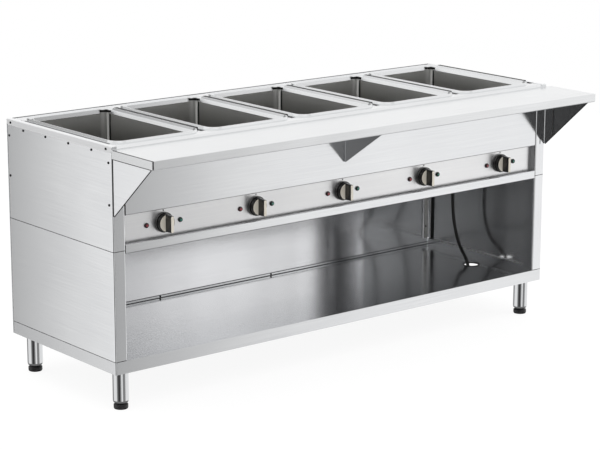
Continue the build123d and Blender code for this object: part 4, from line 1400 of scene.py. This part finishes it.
@dataclass(frozen=True)
class Cabinet:
    """The sheet-metal body: ends, caps, front, back and base, with its screws."""

    plain_panels: tuple[str, ...] = (
        "front_fascia",
        "front_rail",
        "back_lower_access",
        "back_upper",
        "housing_floor",
    )
    cap_screw_ys: tuple[float, ...] = (-162.0, 384.0)
    cap_screw_z: float = 829.0
    top_screw_ys: tuple[float, ...] = (-83.5, 45.0, 176.0, 307.0)
    top_screw_z: float = 814.0
    # Places along Y and in height
    edge_screws: tuple[Pair, ...] = ((393.0, 786.0), (393.0, 655.0), (-175.0, 788.0), (-175.0, 658.0))
    # Places along X and in height
    inner_screws: tuple[Pair, ...] = ((-344.0, 148.0), (142.0, 148.0), (-916.0, 214.0), (892.0, 214.0))
    inner_screw_y: float = 404.6
    inner_screw_radius: float = 3.2
    back_screw_zs: tuple[float, ...] = (140.0, 500.0, 530.0, 808.0)
    back_screw_margin: float = 15.0
    back_screw_count: int = 6

    def build(self, nodes: Nodes) -> None:
        """Dress the panels and set their screws.

        Args:
            nodes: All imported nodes.
        """
        dress(nodes, FRONT_SHEET, *self.plain_panels)
        dress(nodes, STRIP_SHEET, "control_panel")
        dress(nodes, BACK_SHEET, "back_lower_main")
        dress(nodes, TRAY_SHEET, "base_tray")
        dress(nodes, WOOL_BOARD, "insulation")
        for end in ENDS:
            dress(nodes, END_SHEET, f"upper_end_{end.side}", f"lower_end_{end.side}")
            dress(nodes, CAP_SHEET, f"end_cap_{end.side}")
            self.screw_end(end)
        self.screw_back()

    def screw_end(self, end: Facing) -> None:
        """Set the screws of one end.

        Args:
            end: Which end.
        """
        (cap_x,) = end.inward(f"end_cap_{end.side}", 0.0)
        (panel_x,) = end.inward(f"upper_end_{end.side}", 0.0)
        places = [(cap_x, y, self.cap_screw_z) for y in self.cap_screw_ys]
        places += [(panel_x, y, self.top_screw_z) for y in self.top_screw_ys]
        places += [(panel_x, y, z) for y, z in self.edge_screws]
        ScrewHead().row(f"screws_end_{end.side}", places, end)

    def screw_back(self) -> None:
        """Set the small screws inside the cabinet, and rows along the back panels' edges."""
        inside = [(x, self.inner_screw_y, z) for x, z in self.inner_screws]
        ScrewHead(radius=self.inner_screw_radius).row("screws_cabinet", inside, Facing.FRONT)
        (left, right), (_, rear), _ = spans("back_upper")
        start = left + self.back_screw_margin
        step = (right - self.back_screw_margin - start) / (self.back_screw_count - 1)
        columns = [start + number * step for number in range(self.back_screw_count)]
        outside = [(x, rear, z) for z in self.back_screw_zs for x in columns]
        ScrewHead().row("screws_back", outside, Facing.BACK)


@dataclass(frozen=True)
class Top:
    """The deck, its wells and the work shelf on its brackets."""

    brackets: tuple[str, ...] = ("bracket_left", "bracket_middle", "bracket_right")

    def build(self, nodes: Nodes) -> None:
        """Dress the top.

        Args:
            nodes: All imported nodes.
        """
        dress(nodes, TOP_SHEET, "deck", "work_shelf")
        dress(nodes, END_SHEET, *self.brackets)
        dress(nodes, WELL_SHEET, *numbered("well"))
        dress(nodes, ELEMENT_SHEATH, "heating_elements")


@dataclass(frozen=True)
class Controls:
    """Knobs, lamps and dial marks along the recessed strip."""

    first_x: float = -732.0
    pitch: float = 360.0
    lamp_offset: float = 63.5
    lamp_z: float = 575.5
    lens_radius: float = 7.2
    mark_z: float = 614.5
    mark_radius: float = 3.6
    mark_rise: float = 0.4

    @property
    def middles(self) -> list[float]:
        """The middles of the knobs along X, which are the wells' middles too."""
        return [self.first_x + number * self.pitch for number in range(WELL_COUNT)]

    def lens(self, name: str, tones: tuple[str, str, str], side: int) -> LampGlass:
        """Give the finish of one colour's lamps.

        Args:
            name: The finish's name.
            tones: The lens's deep colour, the colour of its painted glint, and the rim's.
            side: -1 for the lamps left of the knobs and 1 for those right of them.

        Returns:
            The finish.
        """
        first = self.first_x + side * self.lamp_offset
        return LampGlass(name, *tones, first, self.pitch, self.lamp_z, self.lens_radius)

    def build(self, nodes: Nodes) -> None:
        """Dress the controls and make the dial marks.

        Args:
            nodes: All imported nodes.
        """
        dress(nodes, KNOB_PHENOLIC, *numbered("knob"))
        dress(nodes, KNOB_TRIM, *numbered("knob_face"))
        dress(nodes, SPINDLE_BRASS, *numbered("spindle"))
        dress(nodes, CONTROL_RESIN, "thermostats", "terminal_block")
        # Polycarbonate, moulded: deep red and deep green, each with a painted glint in the middle
        red = self.lens("polycarbonate_red_lens", ("#3E0A14", "#A62838", "#2C0A10"), -1)
        green = self.lens("polycarbonate_green_lens", ("#06302A", "#1B7A66", "#0A2620"), 1)
        dress(nodes, red, "red_lamps")
        dress(nodes, green, "green_lamps")
        self.mark_dials()

    def mark_dials(self) -> None:
        """Make a small dark pointer on the strip above each knob."""
        strip_y = spans("control_panel")[1][0]
        point_down = Matrix.Rotation(math.pi, 4, "Z")
        to_front = Matrix.Rotation(QUARTER_TURN, 4, "X")
        radius = self.mark_radius * MM
        shape = bmesh.new()
        for middle in self.middles:
            made = bmesh.ops.create_circle(shape, cap_ends=True, radius=radius, segments=3)["verts"]
            face = made[0].link_faces[0]
            raised = bmesh.ops.extrude_face_region(shape, geom=[face])["geom"]
            top = [item for item in raised if isinstance(item, bmesh.types.BMVert)]
            bmesh.ops.translate(shape, verts=top, vec=(0.0, 0.0, self.mark_rise * MM))
            place = Vector((middle, strip_y, self.mark_z)) * MM
            put = Matrix.Translation(place) @ to_front @ point_down
            bmesh.ops.transform(shape, matrix=put, verts=made + top)
        bmesh.ops.recalc_face_normals(shape, faces=shape.faces[:])
        piece("dial_marks", shape, DIAL_ENAMEL)


@dataclass(frozen=True)
class Legs:
    """Four round legs on screwed feet."""

    corners: tuple[str, ...] = ("front_left", "front_right", "rear_left", "rear_right")

    def build(self, nodes: Nodes) -> None:
        """Dress the legs and the feet.

        Args:
            nodes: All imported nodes.
        """
        for corner in self.corners:
            dress(nodes, LEG_TUBE, f"leg_{corner}")
            dress(nodes, FOOT_NYLON, f"foot_{corner}")


def main() -> None:
    """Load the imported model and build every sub-assembly in order."""
    logging.basicConfig(level=logging.INFO, format="%(name)s: %(message)s")
    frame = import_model()
    nodes = frame["nodes"]
    PhotoCamera().build()
    MainsLead().build(nodes)
    Studio().build()
    Cabinet().build(nodes)
    for end in ENDS:
        EndJoints(end).build()
    controls = Controls()
    DeckLines().build(controls.middles)
    WellCorners().build(controls.middles)
    ShelfLines().build()
    CabinetLines().build()
    Top().build(nodes)
    controls.build(nodes)
    Legs().build(nodes)


if __name__ == "__main__":
    main()
